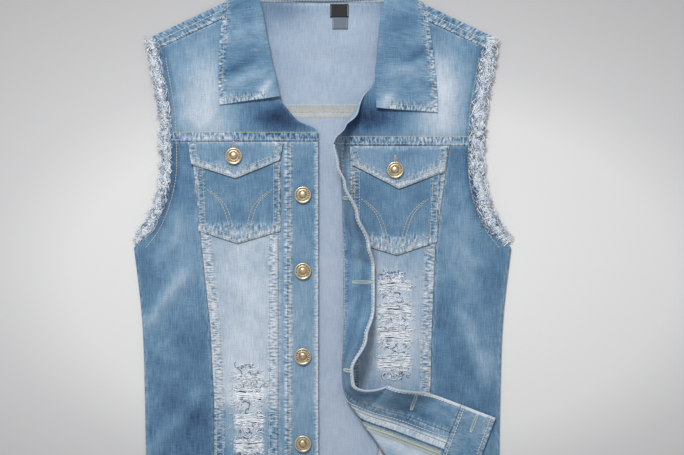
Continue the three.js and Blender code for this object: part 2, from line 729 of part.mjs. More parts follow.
// Domed metal shank buttons
const BUTTON_RADIUS = 10;
const BUTTON_HEIGHT = 4.2;
const BUTTONS = [
  { x: -23.4, y: 76.2 },
  { x: -23.4, y: -15 },
  { x: -23.4, y: -117 },
  { x: -23.4, y: -221.4 },
  { x: -23.4, y: -323.4 },
];

function addButton(name, x, y, lift) {
  const profile = [
    [0, 0],
    [4, 0],
    [4, 1.3],
    [BUTTON_RADIUS, 1.8],
    [BUTTON_RADIUS - 1, 3.4],
    [0, BUTTON_HEIGHT],
  ].map(([radius, height]) => new THREE.Vector2(radius, height));
  const lathe = new THREE.LatheGeometry(profile, 12).rotateX(Math.PI / 2);
  const mesh = addPiece(name, lathe, BRASS);
  mesh.position.set(x, y, frontHeight(x, y) + lift + SEAM_GAP);
}

// Frayed armholes: a narrow strip parted from the cut edge, with a row of tapering locks.
const STRIP = { from: 0.8, to: 3.4, half: 0.45 };
const LOCK_LEAN = 0.9;

function addArmholeFringe(name, sign, place, locks, curl) {
  const steps = 2 * locks;
  const points = armholeCurve.getSpacedPoints(steps);
  const reach = (i, distance, shift = 0) => {
    const along = points[Math.min(i + 1, steps)].clone().sub(points[Math.max(i - 1, 0)]).normalize();
    const x = points[i].x - along.y * distance + along.x * shift;
    return [sign * x, points[i].y + along.x * distance + along.y * shift];
  };
  const cells = [];
  for (let i = 0; i < steps; i++) {
    const [root, nextRoot] = [reach(i, STRIP.to), reach(i + 1, STRIP.to)];
    cells.push([reach(i, STRIP.from), root, nextRoot, reach(i + 1, STRIP.from)]);
    if (i % 2) continue;
    const length = 5.5 + 2.2 * Math.sin(i * 1.7) + 1.2 * Math.sin(i * 0.61);
    const lean = 1.3 * Math.sin(i * 0.37) + 0.5 * Math.sin(i * 0.93) + LOCK_LEAN;
    cells.push([root, reach(i, STRIP.to + length, lean), nextRoot]);
  }
  const curled = (x, y, lift) => {
    const away = Math.min(...points.map((p) => Math.hypot(Math.abs(x) - p.x, y - p.y)));
    const wave = 1 + Math.sin(y * 0.83) * Math.sin(y * 0.29 + 1);
    return place(x, y, lift).add(new THREE.Vector3(0, 0, curl * wave * smooth((away - 3) / 7)));
  };
  addPiece(name, clothOver(cells, curled, -STRIP.half, STRIP.half), FRAYED);
}

// Collar: one curved band. Its stand rises from the neck seam to a roll, and its leaf falls
// from there over the outside of the neck, above the fronts and below the back.
const COLLAR_THICKNESS = 1;

// Each row is a line across the collar: the seam, the roll and the leaf's edge.
const LEFT_COLLAR = [
  { seam: [70, 186], roll: [65.5, 180], edge: [138, 175], front: true },
  { seam: [69, 206], roll: [63, 204], edge: [137.5, 198], front: true },
  { seam: [73, 240], roll: [65, 238], edge: [134, 236], front: true },
  { seam: [81, 288], roll: [70, 290], edge: [127, 284], front: true },
  { seam: [87, 317.5], roll: [74, 323], edge: [118, 303.8], front: false },
  { seam: [62, 311.2], roll: [54, 341], edge: [84, 268], front: false },
  { seam: [0, 307.2], roll: [0, 343.5], edge: [0, 266], front: false },
];
const RIGHT_COLLAR = [
  { seam: [-55, 198], roll: [-50.5, 194], edge: [-123, 184], front: true },
  { seam: [-62, 220], roll: [-56, 216], edge: [-124.5, 208], front: true },
  { seam: [-71, 256], roll: [-64, 252], edge: [-124, 248], front: true },
  { seam: [-80, 290], roll: [-71, 292], edge: [-120, 287], front: true },
  { seam: [-87, 317.5], roll: [-75, 323], edge: [-117, 304.3], front: false },
  { seam: [-62, 311.2], roll: [-54, 341], edge: [-84, 268], front: false },
];

// Points across the collar: how far from the first line to the second, and how far out from
// the middle of the body's cloth on the back and on the fronts.
const ACROSS = [
  { from: "seam", to: "roll", share: 0.02, onBack: 0.1, onFront: 1.7 },
  { from: "seam", to: "roll", share: 0.5, onBack: 0.1, onFront: 2.6 },
  { from: "seam", to: "roll", share: 0.93, onBack: 0.12, onFront: 3.4 },
  { from: "seam", to: "roll", share: 1, onBack: 0.75, onFront: 4.4 },
  { from: "seam", to: "roll", share: 0.94, onBack: 1.45, onFront: 5.4 },
  { from: "roll", to: "edge", share: 0.16, onBack: 1.6, onFront: 5.2 },
  { from: "roll", to: "edge", share: 0.5, onBack: 1.6, onFront: 3.6 },
  { from: "roll", to: "edge", share: 1, onBack: 1.6, onFront: 1.9 },
];

// Places along half of the collar, from the middle of the back: close together at the shoulder
const STATIONS = [0, 0.045, 0.09, 0.13, 0.155];
const FOLD_STATION = 0.1667;
for (let i = 0; i <= 6; i++) STATIONS.push(FOLD_STATION + i * 0.004);
STATIONS.push(0.21, 0.24, 0.28, 0.33, 0.38, 0.43, 0.47, 0.5);

function addCollar() {
  const rows = [...RIGHT_COLLAR, ...LEFT_COLLAR.slice().reverse()];
  const curves = {};
  for (const key of ["seam", "roll", "edge"]) {
    const points = rows.map((row) => (row.front ? unfolded(...row[key]) : row[key]));
    curves[key] = new THREE.SplineCurve(points.map(([x, y]) => new THREE.Vector2(x, y)));
  }
  const places = [...STATIONS.slice(1).reverse().map((s) => 0.5 - s), ...STATIONS.map((s) => 0.5 + s)];
  const grid = places.map((t) => {
    const over = smooth((Math.abs(t - 0.5) - FOLD_STATION) / 0.05 + 0.16);
    return ACROSS.map(({ from, to, share, ...out }) => {
      const p = curves[from].getPoint(t).lerp(curves[to].getPoint(t), share);
      return onBack(p.x, p.y, out.onBack + (out.onFront - out.onBack) * over);
    });
  });
  addPiece("collar", wallAbout(grid, COLLAR_THICKNESS), DENIM);
}

// A bare woven label and a size tab, sewn inside the back of the neck
function addLabel(name, { left, right, low, high }, finish) {
  const cells = fill({
    bottom: line([[left, low], [right, low]], 1),
    top: line([[left, high], [right, high]], 1),
    left: line([[left, low], [left, high]], 1),
    right: line([[right, low], [right, high]], 1),
  });
  const inside = -HALF_CLOTH - SEAM_GAP;
  addPiece(name, clothOver(cells, onBack, inside - 1, inside), finish);
}

addBackPanels();
addBackWaistband();
addBackYoke();
addLabel("neck_label", { left: 9.2, right: 31.2, low: 289, high: 305 }, BLACK_SATIN);
addLabel("size_tab", { left: 12, right: 30.4, low: 275, high: 288.7 }, GREY_TAPE);
for (const front of [RIGHT, LEFT]) {
  addFrontYoke(front);
  addPlacket(front);
  addInnerPanel(front);
  addCentrePanel(front);
  addRipThreads(front);
  addSidePanel(front);
  addFrontWaistband(front);
  addPocketAndFlap(front);
  const [x, y] = front.flapButton;
  addButton(`${front.name}_flap_button`, front.sign * x, y, FLAP_LIFT + FLAP_THICKNESS);
  addArmholeFringe(`${front.name}_front_fringe`, front.sign, front.place, 50, 1.6);
  addArmholeFringe(`${front.name}_back_fringe`, front.sign, onBack, 32, 0.2);
}
BUTTONS.forEach(({ x, y }, i) => addButton(`button_${i + 1}`, x, y, HALF_CLOTH + DOUBLED));
addCollar();

vest.updateMatrixWorld(true);
export default vest;
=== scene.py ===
# A sleeveless denim jacket, unbuttoned and laid flat on its back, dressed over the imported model.
# Patterns are drawn in millimetres, with the centre line at zero and the collar towards +Y, and
# MM turns them into metres. Left and right are the wearer's, so the left front lies at +X.

import math

import bmesh
import bpy
import numpy as np
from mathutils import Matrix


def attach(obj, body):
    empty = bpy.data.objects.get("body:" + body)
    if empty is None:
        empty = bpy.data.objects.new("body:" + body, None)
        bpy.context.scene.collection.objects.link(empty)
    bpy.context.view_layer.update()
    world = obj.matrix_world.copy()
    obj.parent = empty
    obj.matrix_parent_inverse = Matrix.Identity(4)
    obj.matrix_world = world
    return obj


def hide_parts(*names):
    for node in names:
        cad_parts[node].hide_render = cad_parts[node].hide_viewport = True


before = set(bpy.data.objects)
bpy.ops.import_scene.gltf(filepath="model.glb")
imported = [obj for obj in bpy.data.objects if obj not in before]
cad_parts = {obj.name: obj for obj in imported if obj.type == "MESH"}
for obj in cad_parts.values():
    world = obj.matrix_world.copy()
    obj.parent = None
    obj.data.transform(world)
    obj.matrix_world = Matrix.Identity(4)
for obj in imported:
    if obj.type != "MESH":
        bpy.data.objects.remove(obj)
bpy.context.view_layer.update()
MM = 0.001

# The view: the camera looks straight down on the vest, and its picture is as wide as 820.8 mm
# of the cloth, with its middle a little above and to the right of the vest's own.
CAMERA_HEIGHT = 2.2
PICTURE_WIDTH = 0.8208
camera = bpy.data.objects.new("camera", bpy.data.cameras.new("camera"))
camera.data.sensor_width = 36
camera.data.lens = 36 * CAMERA_HEIGHT / PICTURE_WIDTH
camera.location = (0.0234, 0.0372, CAMERA_HEIGHT)
bpy.context.collection.objects.link(camera)
bpy.context.scene.camera = camera


# The surface that the vest lies on: plain pale board, painted darker towards its corners as a
# fall-off of light, under one broad soft lamp above the collar and an even pale surrounding light.
def srgb(red, green, blue):
    """A shader colour from the 0 to 255 values that a screen shows."""
    linear = [((c / 255 + 0.055) / 1.055) ** 2.4 for c in (red, green, blue)]
    return (*linear, 1.0)


def add_node(tree, kind, inputs=None, **settings):
    """A shader node with its settings. Inputs are values, or sockets to join to."""
    node = tree.nodes.new(kind)
    for key, value in settings.items():
        setattr(node, key, value)
    for key, value in (inputs or {}).items():
        if isinstance(value, bpy.types.NodeSocket):
            tree.links.new(value, node.inputs[key])
        else:
            node.inputs[key].default_value = value
    return node


def new_finish(name, constants):
    """A material, its node tree and its surface shader, with the shader's fixed values."""
    material = bpy.data.materials.new(name)
    material.use_nodes = True
    shader = material.node_tree.nodes["Principled BSDF"]
    for key, value in constants.items():
        shader.inputs[key].default_value = value
    return material, material.node_tree, shader


def coloured(tree, shader, amount, stops):
    """Colours a finish from a run of shades, by an amount from 0 to 1."""
    ramp = add_node(tree, "ShaderNodeValToRGB", {"Fac": amount})
    elements = ramp.color_ramp.elements
    while len(elements) < len(stops):
        elements.new(0.5)
    for element, (position, colour) in zip(elements, stops):
        element.position = position
        element.color = srgb(*colour)
    tree.links.new(ramp.outputs["Color"], shader.inputs["Base Color"])


def show_piece(name, mesh, materials):
    """A smooth piece made from a mesh, with its materials."""
    for material in materials:
        mesh.materials.append(material)
    mesh.polygons.foreach_set("use_smooth", [True] * len(mesh.polygons))
    piece = bpy.data.objects.new(name, mesh)
    bpy.context.collection.objects.link(piece)
    return piece


def set_mesh(name, bm, materials):
    mesh = bpy.data.meshes.new(name)
    bm.to_mesh(mesh)
    bm.free()
    return show_piece(name, mesh, materials)


def board_finish():
    # The board's colour darkens from its middle to its corners: a painted fall-off of light.
    material, tree, shader = new_finish("board_painted_falloff", {"Roughness": 0.9})
    place = add_node(tree, "ShaderNodeTexCoord").outputs["Object"]
    moved = {"Vector": place, "Location": (-0.06, 0.036, 0), "Scale": (1, 1.8, 1)}
    centred = add_node(tree, "ShaderNodeMapping", moved)
    reach = add_node(tree, "ShaderNodeVectorMath", {0: centred.outputs[0]}, operation="LENGTH")
    far = add_node(tree, "ShaderNodeMapRange", {"Value": reach.outputs["Value"], "From Max": 0.8})
    coloured(tree, shader, far.outputs[0], [
        (0.0, (229, 229, 228)), (0.45, (216, 216, 215)), (0.59, (196, 196, 196)),
        (0.73, (184, 184, 184)), (0.93, (168, 168, 168)),
    ])
    return material


bm = bmesh.new()
bmesh.ops.create_grid(bm, x_segments=4, y_segments=4, size=2.0)
bmesh.ops.translate(bm, verts=bm.verts, vec=(0, 0, -0.0006))
floor = set_mesh("floor", bm, [board_finish()])

lamp = bpy.data.objects.new("broad_lamp", bpy.data.lights.new("broad_lamp", "AREA"))
lamp.data.shape = "RECTANGLE"
lamp.data.size = 0.7
lamp.data.size_y = 0.4
lamp.data.energy = 43
lamp.location = (-0.42, 1.45, 1.9)
lamp.rotation_euler = (-lamp.location).to_track_quat("-Z", "Y").to_euler()
bpy.context.collection.objects.link(lamp)
world = bpy.data.worlds.new("pale_surroundings")
world.use_nodes = True
world.node_tree.nodes["Background"].inputs["Color"].default_value = (0.97, 0.98, 1.0, 1.0)
world.node_tree.nodes["Background"].inputs["Strength"].default_value = 0.5
bpy.context.scene.world = world
bpy.context.scene.view_settings.view_transform = "Standard"

# The back: a centre panel, two side panels and a waistband lie flat, and a yoke rolls over each
# shoulder onto the front. It is washed cotton twill of one layer, so its pale inside is what the
# open front shows. Each panel is cut from a flat pattern and laid over the same soft forms.
CLOTH = 1.2
DOUBLED = 0.8
SEAM_GAP = 0.3
HEM_Y = -344
WAISTBAND_Y = -300
BACK_YOKE_Y = 176
ARMPIT_Y = 18
BACK_LEVEL = CLOTH / 2
SIDE_LEVEL = 2.1
FRONT_LEVEL = 3.6
LOFT = 1.6
LEAF_LIFT = 1.9
SHOULDER_NECK = (88, 317.9)
SHOULDER_TIP = (203, 264)
SHOULDER_BAND = 14
SHOULDER_ROLL = 1.5
SHOULDER_BEND = math.pi * SHOULDER_ROLL
ARMHOLE = [
    (203, 264), (195, 218), (188, 178), (186, 140), (186, 104), (192, 72), (205, 40), (222, 18),
]
SIDE_SEAM = [(226, 13), (216.5, -70), (213, -160), (210, HEM_Y)]
BACK_SEAM = [(100, BACK_YOKE_Y), (61, WAISTBAND_Y)]
EDGE_REACH = 3.6  # how far in from its edges a panel has worn pale
FELLED = 0.55  # how much thicker a felled seam is

# Creases as ridges and troughs: from one point to another, how wide and how high.
FRONT_FOLDS = [
    (-214, -84, -160, -14, 9, 3.4),
    (-208, -62, -186, -58, 11, -1.2),
    (-206, -232, -140, -150, 11, 3.2),
    (-178, -90, -138, -124, 12, -1.4),
    (-182, -176, -146, -196, 12, -1.4),
    (-128, 2, -74, -46, 10, -1.3),
    (-118, -18, -70, -66, 13, 1.8),
    (134, -78, 172, -86, 11, -1.4),
    (168, -66, 200, -150, 10, 3.0),
    (206, -210, 168, -290, 12, 2.4),
    (-150, 230, -112, 186, 15, 2.2),
    (146, 236, 158, 170, 15, 2.2),
    (-186, 96, -170, 20, 8, 1.1),
    (-202, -8, -172, 28, 6, 1.2),
    (-204, -118, -170, -86, 5, 1.0),
    (-196, -128, -166, -132, 7, -0.9),
    (-206, -268, -170, -226, 6, 1.3),
    (-164, -248, -142, -276, 8, 0.9),
    (-120, -96, -84, -122, 6, 0.7),
    (-118, -172, -62, -166, 7, 1.2),
    (-112, -190, -66, -186, 6, -0.8),
    (-172, 232, -150, 200, 7, 1.0),
    (-168, 196, -140, 176, 8, -0.9),
    (160, 84, 180, 36, 8, 1.1),
    (150, 20, 196, -12, 8, 1.2),
    (146, -120, 182, -172, 7, 1.1),
    (150, -196, 186, -226, 8, -1.0),
    (148, -244, 176, -262, 6, 0.9),
    (172, 240, 176, 196, 7, 0.9),
    (120, 206, 150, 162, 8, -0.8),
    (74, -62, 116, -58, 5, 0.5),
    (92, -156, 124, -170, 7, 0.8),
]
BACK_FOLDS = [
    (-60, -2, 38, -8, 11, 1.1),
    (-44, -148, 52, -158, 12, 1.2),
    (-30, -186, 44, -172, 8, 0.7),
    (8, 150, 26, 64, 14, 0.9),
    (-150, 20, -110, -60, 13, 1.0),
    (112, -40, 160, -110, 13, 1.0),
    (-120, -210, -60, -236, 12, 0.9),
    (96, -232, 150, -216, 12, 0.9),
    (-70, 262, -20, 226, 12, 0.8),
    (34, 260, 66, 214, 12, 0.7),
]


def ease(t):
    """0 to 1, starting and ending softly."""
    t = np.clip(t, 0.0, 1.0)
    return t * t * (3 - 2 * t)


def seam_x(seam, y):
    """Distance from the centre line to a seam of straight runs, at a height."""
    return np.interp(y, [p[1] for p in seam[::-1]], [p[0] for p in seam[::-1]])


def folds_at(folds, x, y):
    """Height that a table of creases adds at places of the cloth."""
    total = np.zeros(np.shape(x))
    for x1, y1, x2, y2, width, height in folds:
        run = np.array((x2 - x1, y2 - y1), float)
        length = np.hypot(*run)
        along = ((x - x1) * run[0] + (y - y1) * run[1]) / length
        away = ((x - x1) * run[1] - (y - y1) * run[0]) / length
        ends = ease(0.5 + along / 30) * ease(0.5 + (length - along) / 30)
        total += height * ends * np.exp(-((away / width) ** 2))
    return total


def past_shoulder(x, y):
    """How far places lie past the shoulder's fold, and the fold's direction outwards."""
    run = np.subtract(SHOULDER_TIP, SHOULDER_NECK)
    run = run / np.hypot(*run)
    nx, ny = -run[1] * np.sign(x), run[0]
    beyond = (np.abs(x) - SHOULDER_NECK[0]) * np.abs(nx) + (y - SHOULDER_NECK[1]) * ny
    return nx, ny, beyond


def leaf_lift(x, y):
    """Room for the collar's leaf below the back of the neck."""
    return LEAF_LIFT * ease((y - 236) / 24) * ease((168 - np.abs(x)) / 36)


def front_height(x, y):
    """Middle of the fronts' cloth where it lies flat."""
    to_side = seam_x(SIDE_SEAM, y) - np.abs(x)
    loft = LOFT * ease(to_side / 70) * ease((250 - y) / 90)
    folds = folds_at(FRONT_FOLDS, x, y) * ease(-past_shoulder(x, y)[2] / 30)
    free = FRONT_LEVEL + loft + folds
    joined = ease((60 - y) / 45) * (1 - ease(to_side / 16))
    return free + (SIDE_LEVEL - free) * joined + leaf_lift(x, y)


def placed(x, y, z):
    return np.column_stack([x, y, z]) * MM


def on_back(x, y, lift):
    """Places of the back's cloth. lift is the distance out from its middle, so down on the back."""
    nx, ny, beyond = past_shoulder(x, y)
    flat = (beyond <= 0) | (np.abs(x) < SHOULDER_NECK[0] / 2)
    inside = ease((200 - np.abs(x)) / 30) * ease((y + 320) / 30) * ease((300 - y) / 30)
    level = BACK_LEVEL + leaf_lift(x, y) - lift + folds_at(BACK_FOLDS, x, y) * inside
    bent = np.minimum(beyond / SHOULDER_BEND, 1) * math.pi
    straight = np.maximum(0, beyond - SHOULDER_BEND)
    out = (SHOULDER_ROLL + lift) * np.sin(bent) - straight - beyond
    land_x, land_y = x + nx * out, y + ny * out
    rolled = SHOULDER_ROLL - (SHOULDER_ROLL + lift) * np.cos(bent)
    ending = BACK_LEVEL + leaf_lift(land_x, land_y) + rolled
    lying = front_height(land_x, land_y) + lift
    over = ending + (lying - ending) * ease(straight / 12)
    return placed(np.where(flat, x, land_x), np.where(flat, y, land_y), np.where(flat, level, over))


def reach_along(line):
    """Distance from a line's first point to each of its points."""
    return np.concatenate([[0], np.cumsum(np.linalg.norm(np.diff(line, axis=0), axis=1))])


def at_reach(line, at, reach):
    """Places of a line at distances along it."""
    return np.stack([np.interp(at, reach, column) for column in line.T], axis=-1)


def curve_at(points, at):
    """Places on a smooth curve through points, by how many points along they are."""
    i = np.minimum(at.astype(int), len(points) - 2)
    t = (at - i)[:, None]
    before, a = points[np.maximum(i - 1, 0)], points[i]
    b, after = points[i + 1], points[np.minimum(i + 2, len(points) - 1)]
    start, end = (b - before) / 2, (after - a) / 2
    cubic = (2 * a - 2 * b + start + end) * t**3 + (3 * b - 3 * a - 2 * start - end) * t**2
    return cubic + start * t + a


def smooth_line(points, count):
    """count + 1 places, evenly spaced along a smooth curve through the points."""
    points = np.array(points, float)
    if len(points) > 2:
        points = curve_at(points, np.arange(24 * (len(points) - 1) + 1) / 24)
    reach = reach_along(points)
    return at_reach(points, np.linspace(0, reach[-1], count + 1), reach)


def pattern_side(stretches, count):
    """A side of a pattern: smooth stretches that meet at corners, in count steps."""
    lengths = [reach_along(np.array(stretch, float))[-1] for stretch in stretches]
    steps = np.maximum(1, np.round(count * np.array(lengths) / sum(lengths))).astype(int)
    steps[np.argmax(steps)] += count - steps.sum()
    parts = [smooth_line(stretch, n) for stretch, n in zip(stretches, steps)]
    return np.vstack([parts[0]] + [part[1:] for part in parts[1:]])


def mirrored(stretches):
    return [[(-x, y) for x, y in stretch] for stretch in stretches]


def turned(stretches):
    return [stretch[::-1] for stretch in stretches[::-1]]


def four_sides(near_low, far_low, near_high, far_high):
    """The bottom, top and two sides of a pattern with four corners."""
    return [[near_low, far_low]], [[near_high, far_high]], [[near_low, near_high]], [[far_low, far_high]]


def half_pattern(sign, bottom, top, inner, outer):
    """A pattern of one half, from sides given as distances from the centre line."""
    if sign > 0:
        return bottom, top, inner, outer
    return turned(mirrored(bottom)), turned(mirrored(top)), mirrored(outer), mirrored(inner)


def filled_pattern(pattern, step):
    """Points that fill a pattern between its four sides, by column and row."""
    sides = [np.array([point for stretch in side for point in stretch]) for side in pattern]
    span = [np.abs(np.diff(side, axis=0)).sum() for side in sides]
    across = max(2, round(max(span[:2]) / step))
    up = max(2, round(max(span[2:]) / step))
    bottom, top, left, right = pattern
    low, high = pattern_side(bottom, across)[:, None], pattern_side(top, across)[:, None]
    near, far = pattern_side(left, up)[None], pattern_side(right, up)[None]
    u = np.linspace(0, 1, across + 1)[:, None, None]
    v = np.linspace(0, 1, up + 1)[None, :, None]
    corners = (1 - u) * (1 - v) * low[:1] + u * (1 - v) * low[-1:]
    corners = corners + (1 - u) * v * high[:1] + u * v * high[-1:]
    return (1 - v) * low + v * high + (1 - u) * near + u * far - corners


def smallest_box(points):
    """Width and length of the smallest rectangle, at any angle, that a pattern is cut from."""
    sizes = []
    for angle in np.radians(np.arange(0, 90, 3)):
        cos, sin = np.cos(angle), np.sin(angle)
        turned_points = points @ np.array([[cos, -sin], [sin, cos]])
        sizes.append([float(value) for value in np.ptp(turned_points, axis=0)])
    return min(sizes, key=lambda size: size[0] * size[1])


def nowhere(x, y):
    return np.zeros(np.shape(x))


def cut_panel(name, pattern, place, middle, thickness, finishes, fade, step, keep=None, inner=nowhere,
              roped=nowhere):
    """A panel of cloth: its pattern laid on a surface, at a distance out from the body's cloth.

    finishes are for the upper face, the lower face and the cut edge. fade says how washed each
    place is, from dark at 0 to pale at 1, inner says the same of a facing on the lower face, roped
    says where a felled seam has puckered, and keep leaves holes out. Puckers cross their seam, so
    "upright" is 1 where a seam runs up the pattern and 0 where it runs across. step is the
    distance between the panel's points.
    """
    points = filled_pattern(pattern, step)
    across, up = points.shape[0] - 1, points.shape[1] - 1
    cells = points[1:, 1:] - points[:-1, :-1], points[:-1, 1:] - points[1:, :-1]
    area = np.abs(cells[0][..., 0] * cells[1][..., 1] - cells[0][..., 1] * cells[1][..., 0]).sum() / 2
    bm = bmesh.new()
    bmesh.ops.create_grid(bm, x_segments=across, y_segments=up, size=0.5)
    near_edge = bm.verts.layers.float.new("edge")
    for vert in bm.verts:
        i, j = round((vert.co.x + 0.5) * across), round((vert.co.y + 0.5) * up)
        vert.co.x, vert.co.y = points[i, j]
        vert[near_edge] = math.exp(-((min(i, across - i, j, up - j) * step / EDGE_REACH) ** 2))
    if keep is not None:
        gone = [face for face in bm.faces if not keep(*face.calc_center_median().xy)]
        bmesh.ops.delete(bm, geom=gone, context="FACES")
    panel = set_mesh(name, bm, finishes)
    mesh = panel.data
    flat = np.zeros(len(mesh.vertices) * 3)
    mesh.vertices.foreach_get("co", flat)
    x, y = flat.reshape(-1, 3)[:, :2].T
    mesh.vertices.foreach_set("co", place(x, y, middle + FELLED * roped(x, y)).ravel())
    loops = np.zeros(len(mesh.loops), int)
    mesh.loops.foreach_get("vertex_index", loops)
    cut_map = mesh.uv_layers.new(name="cut")
    cut_map.data.foreach_set("uv", (np.column_stack([x, y])[loops] * MM).ravel())
    beside = sum(np.abs(roped(x + step_out, y) - roped(x, y)) for step_out in (-7, 7))
    above = sum(np.abs(roped(x, y + step_out) - roped(x, y)) for step_out in (-7, 7))
    upright = beside / (beside + above + 0.01)
    looks = ("fade", fade), ("inner", inner), ("seam", roped), ("upright", lambda x, y: upright)
    for key, amount in looks:
        shade = mesh.attributes.new(key, "FLOAT", "POINT")
        shade.data.foreach_set("value", np.clip(amount(x, y), 0, 1) * np.ones(len(x)))
    wall = panel.modifiers.new("thickness", "SOLIDIFY")
    wall.thickness = thickness * MM
    wall.offset = 0
    wall.material_offset = 1
    wall.material_offset_rim = 2
    panel["cut_area"] = float(area * MM * MM)
    panel["cut_size"] = smallest_box(points.reshape(-1, 2) * MM)
    return panel


def join_body(piece, node=None):
    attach(piece, "root")
    if node:
        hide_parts(node)


def finish_panel(panel, node):
    """Joins a panel to the body."""
    join_body(panel, node)


def stretched_noise(tree, place, scale, detail=2.0):
    mapped = add_node(tree, "ShaderNodeMapping", {"Vector": place, "Scale": (*scale, 1)})
    inputs = {"Vector": mapped.outputs[0], "Scale": 1.0, "Detail": detail}
    return add_node(tree, "ShaderNodeTexNoise", inputs).outputs["Fac"]


def stated(tree, key):
    """What a mesh says of each place under a name, such as how faded it is."""
    return add_node(tree, "ShaderNodeAttribute", attribute_name=key).outputs["Fac"]


def reckoned(tree, operation, *terms):
    """A sum or product of values and sockets."""
    return add_node(tree, "ShaderNodeMath", dict(enumerate(terms)), operation=operation).outputs[0]


def summed(tree, start, terms):
    """start, plus each term's part of its amount above or below the middle."""
    total = start
    for socket, amount in terms:
        lowered = reckoned(tree, "SUBTRACT", socket, 0.5)
        total = reckoned(tree, "MULTIPLY_ADD", lowered, amount, total)
    return total


def raised(tree, shader, height, distance, strength, **below):
    """Relief of a finish, over any finer relief below it."""
    inputs = {"Height": height, "Distance": distance, "Strength": strength, **below}
    normal = add_node(tree, "ShaderNodeBump", inputs).outputs[0]
    tree.links.new(normal, shader.inputs["Normal"])
    return normal


def denim_finish(name, stops, cloud, slub, roping, amount_from="fade"):
    """Twill whose warp carries the dye: cloudy wash, streaky yarns, and roping along the seams."""
    constants = {"Sheen Weight": 0.12, "Sheen Roughness": 0.6, "Specular IOR Level": 0.22}
    material, tree, shader = new_finish(name, {"Roughness": 0.88, **constants})
    cut = add_node(tree, "ShaderNodeUVMap", uv_map="cut").outputs[0]
    wash = stretched_noise(tree, cut, (24, 20), 4.0)
    mottle = stretched_noise(tree, cut, (120, 90), 3.0)
    warp = stretched_noise(tree, cut, (900, 55))
    weft = stretched_noise(tree, cut, (60, 1000))
    grain = stretched_noise(tree, cut, (700, 700))
    rungs = {"Factor": stated(tree, "upright")}
    rungs["A"] = stretched_noise(tree, cut, (430, 150), 1.0)
    rungs["B"] = stretched_noise(tree, cut, (150, 430), 1.0)
    rope = add_node(tree, "ShaderNodeMix", rungs).outputs["Result"]
    rope = add_node(tree, "ShaderNodeMapRange", {"Value": rope, "From Min": 0.32, "From Max": 0.68})
    rope = rope.outputs[0]
    roped = reckoned(tree, "MULTIPLY", reckoned(tree, "SUBTRACT", rope, 0.4), stated(tree, "seam"))
    rubbed = reckoned(tree, "MULTIPLY", stated(tree, "edge"), rope)
    worn = reckoned(tree, "MULTIPLY_ADD", rubbed, 0.26, stated(tree, amount_from))
    worn = reckoned(tree, "MULTIPLY_ADD", roped, roping, worn)
    terms = [(wash, cloud), (mottle, cloud * 0.5), (warp, slub), (weft, slub * 0.5), (grain, slub * 0.7)]
    coloured(tree, shader, summed(tree, worn, terms), stops)
    ribs = {"Vector": cut, "Scale": 620.0, "Distortion": 0.6, "Detail": 1.0, "Detail Scale": 0.4}
    twill = add_node(tree, "ShaderNodeTexWave", ribs, bands_direction="DIAGONAL").outputs["Fac"]
    fine = raised(tree, shader, summed(tree, twill, [(warp, 1.0), (grain, 0.8)]), 0.00016, 0.7)
    raised(tree, shader, roped, 0.0011, 0.8, Normal=fine)
    return material


INDIGO = [
    (0.0, (24, 42, 72)),
    (0.2, (54, 84, 118)),
    (0.42, (92, 128, 157)),
    (0.6, (129, 157, 180)),
    (0.78, (170, 185, 200)),
    (1.0, (208, 216, 225)),
]
INSIDE_SHADES = [
    (0.0, (72, 96, 126)),
    (0.35, (116, 138, 162)),
    (0.65, (156, 172, 191)),
    (1.0, (192, 202, 216)),
]
outside = denim_finish("washed_twill_outside", INDIGO, 0.36, 0.34, 0.58)
inside = denim_finish("washed_twill_inside", INSIDE_SHADES, 0.26, 0.34, 0.3)
facing = denim_finish("washed_twill_facing", INDIGO, 0.48, 0.34, 0.16, amount_from="inner")


def fluff_finish(name, dark, light, scale):
    """Bare cotton yarn, from a darker to a lighter shade by strand and by place."""
    constants = {"Roughness": 0.95, "Sheen Weight": 0.2, "Specular IOR Level": 0.2}
    material, tree, shader = new_finish(name, constants)
    place = add_node(tree, "ShaderNodeTexCoord").outputs["Object"]
    fleck = stretched_noise(tree, place, (scale, scale))
    amount = summed(tree, stated(tree, "tint"), [(fleck, 0.6)])
    coloured(tree, shader, amount, [(0.0, dark), (1.0, light)])
    raised(tree, shader, stretched_noise(tree, place, (2600, 2600), 1.0), 0.0001, 0.6)
    return material


cut_edge = fluff_finish("cut_edge", (168, 184, 202), (226, 232, 238), 400)


def armhole_between(low, high):
    """The armhole's edge between two heights, from bottom to top."""
    edge = smooth_line(ARMHOLE, 300)[::-1]
    lowest, highest = (edge[np.argmin(np.abs(edge[:, 1] - y))][0] for y in (low, high))
    between = edge[(edge[:, 1] > low + 3) & (edge[:, 1] < high - 3)][::12]
    return [(lowest, low), *map(tuple, between), (highest, high)]


def side_edge(low, high):
    """The outer side of a side panel: the side seam, the armpit and the armhole."""
    armhole = armhole_between(ARMPIT_Y, high)
    foot = (float(seam_x(SIDE_SEAM, low)), low)
    return [[foot, *SIDE_SEAM[:3][::-1]], [SIDE_SEAM[0], armhole[0]], armhole]


def back_fade(x, y):
    """Palest along the middle of the back."""
    return 0.62 + 0.12 * np.exp(-((x / 60) ** 2))


def back_panel(name, node, pattern, fade, step, roped=nowhere):
    """A panel of the back, laid with its pale inside up."""
    finishes = [inside, outside, cut_edge]
    panel = cut_panel(name, pattern, on_back, 0, CLOTH, finishes, fade, step, roped=roped)
    finish_panel(panel, node)


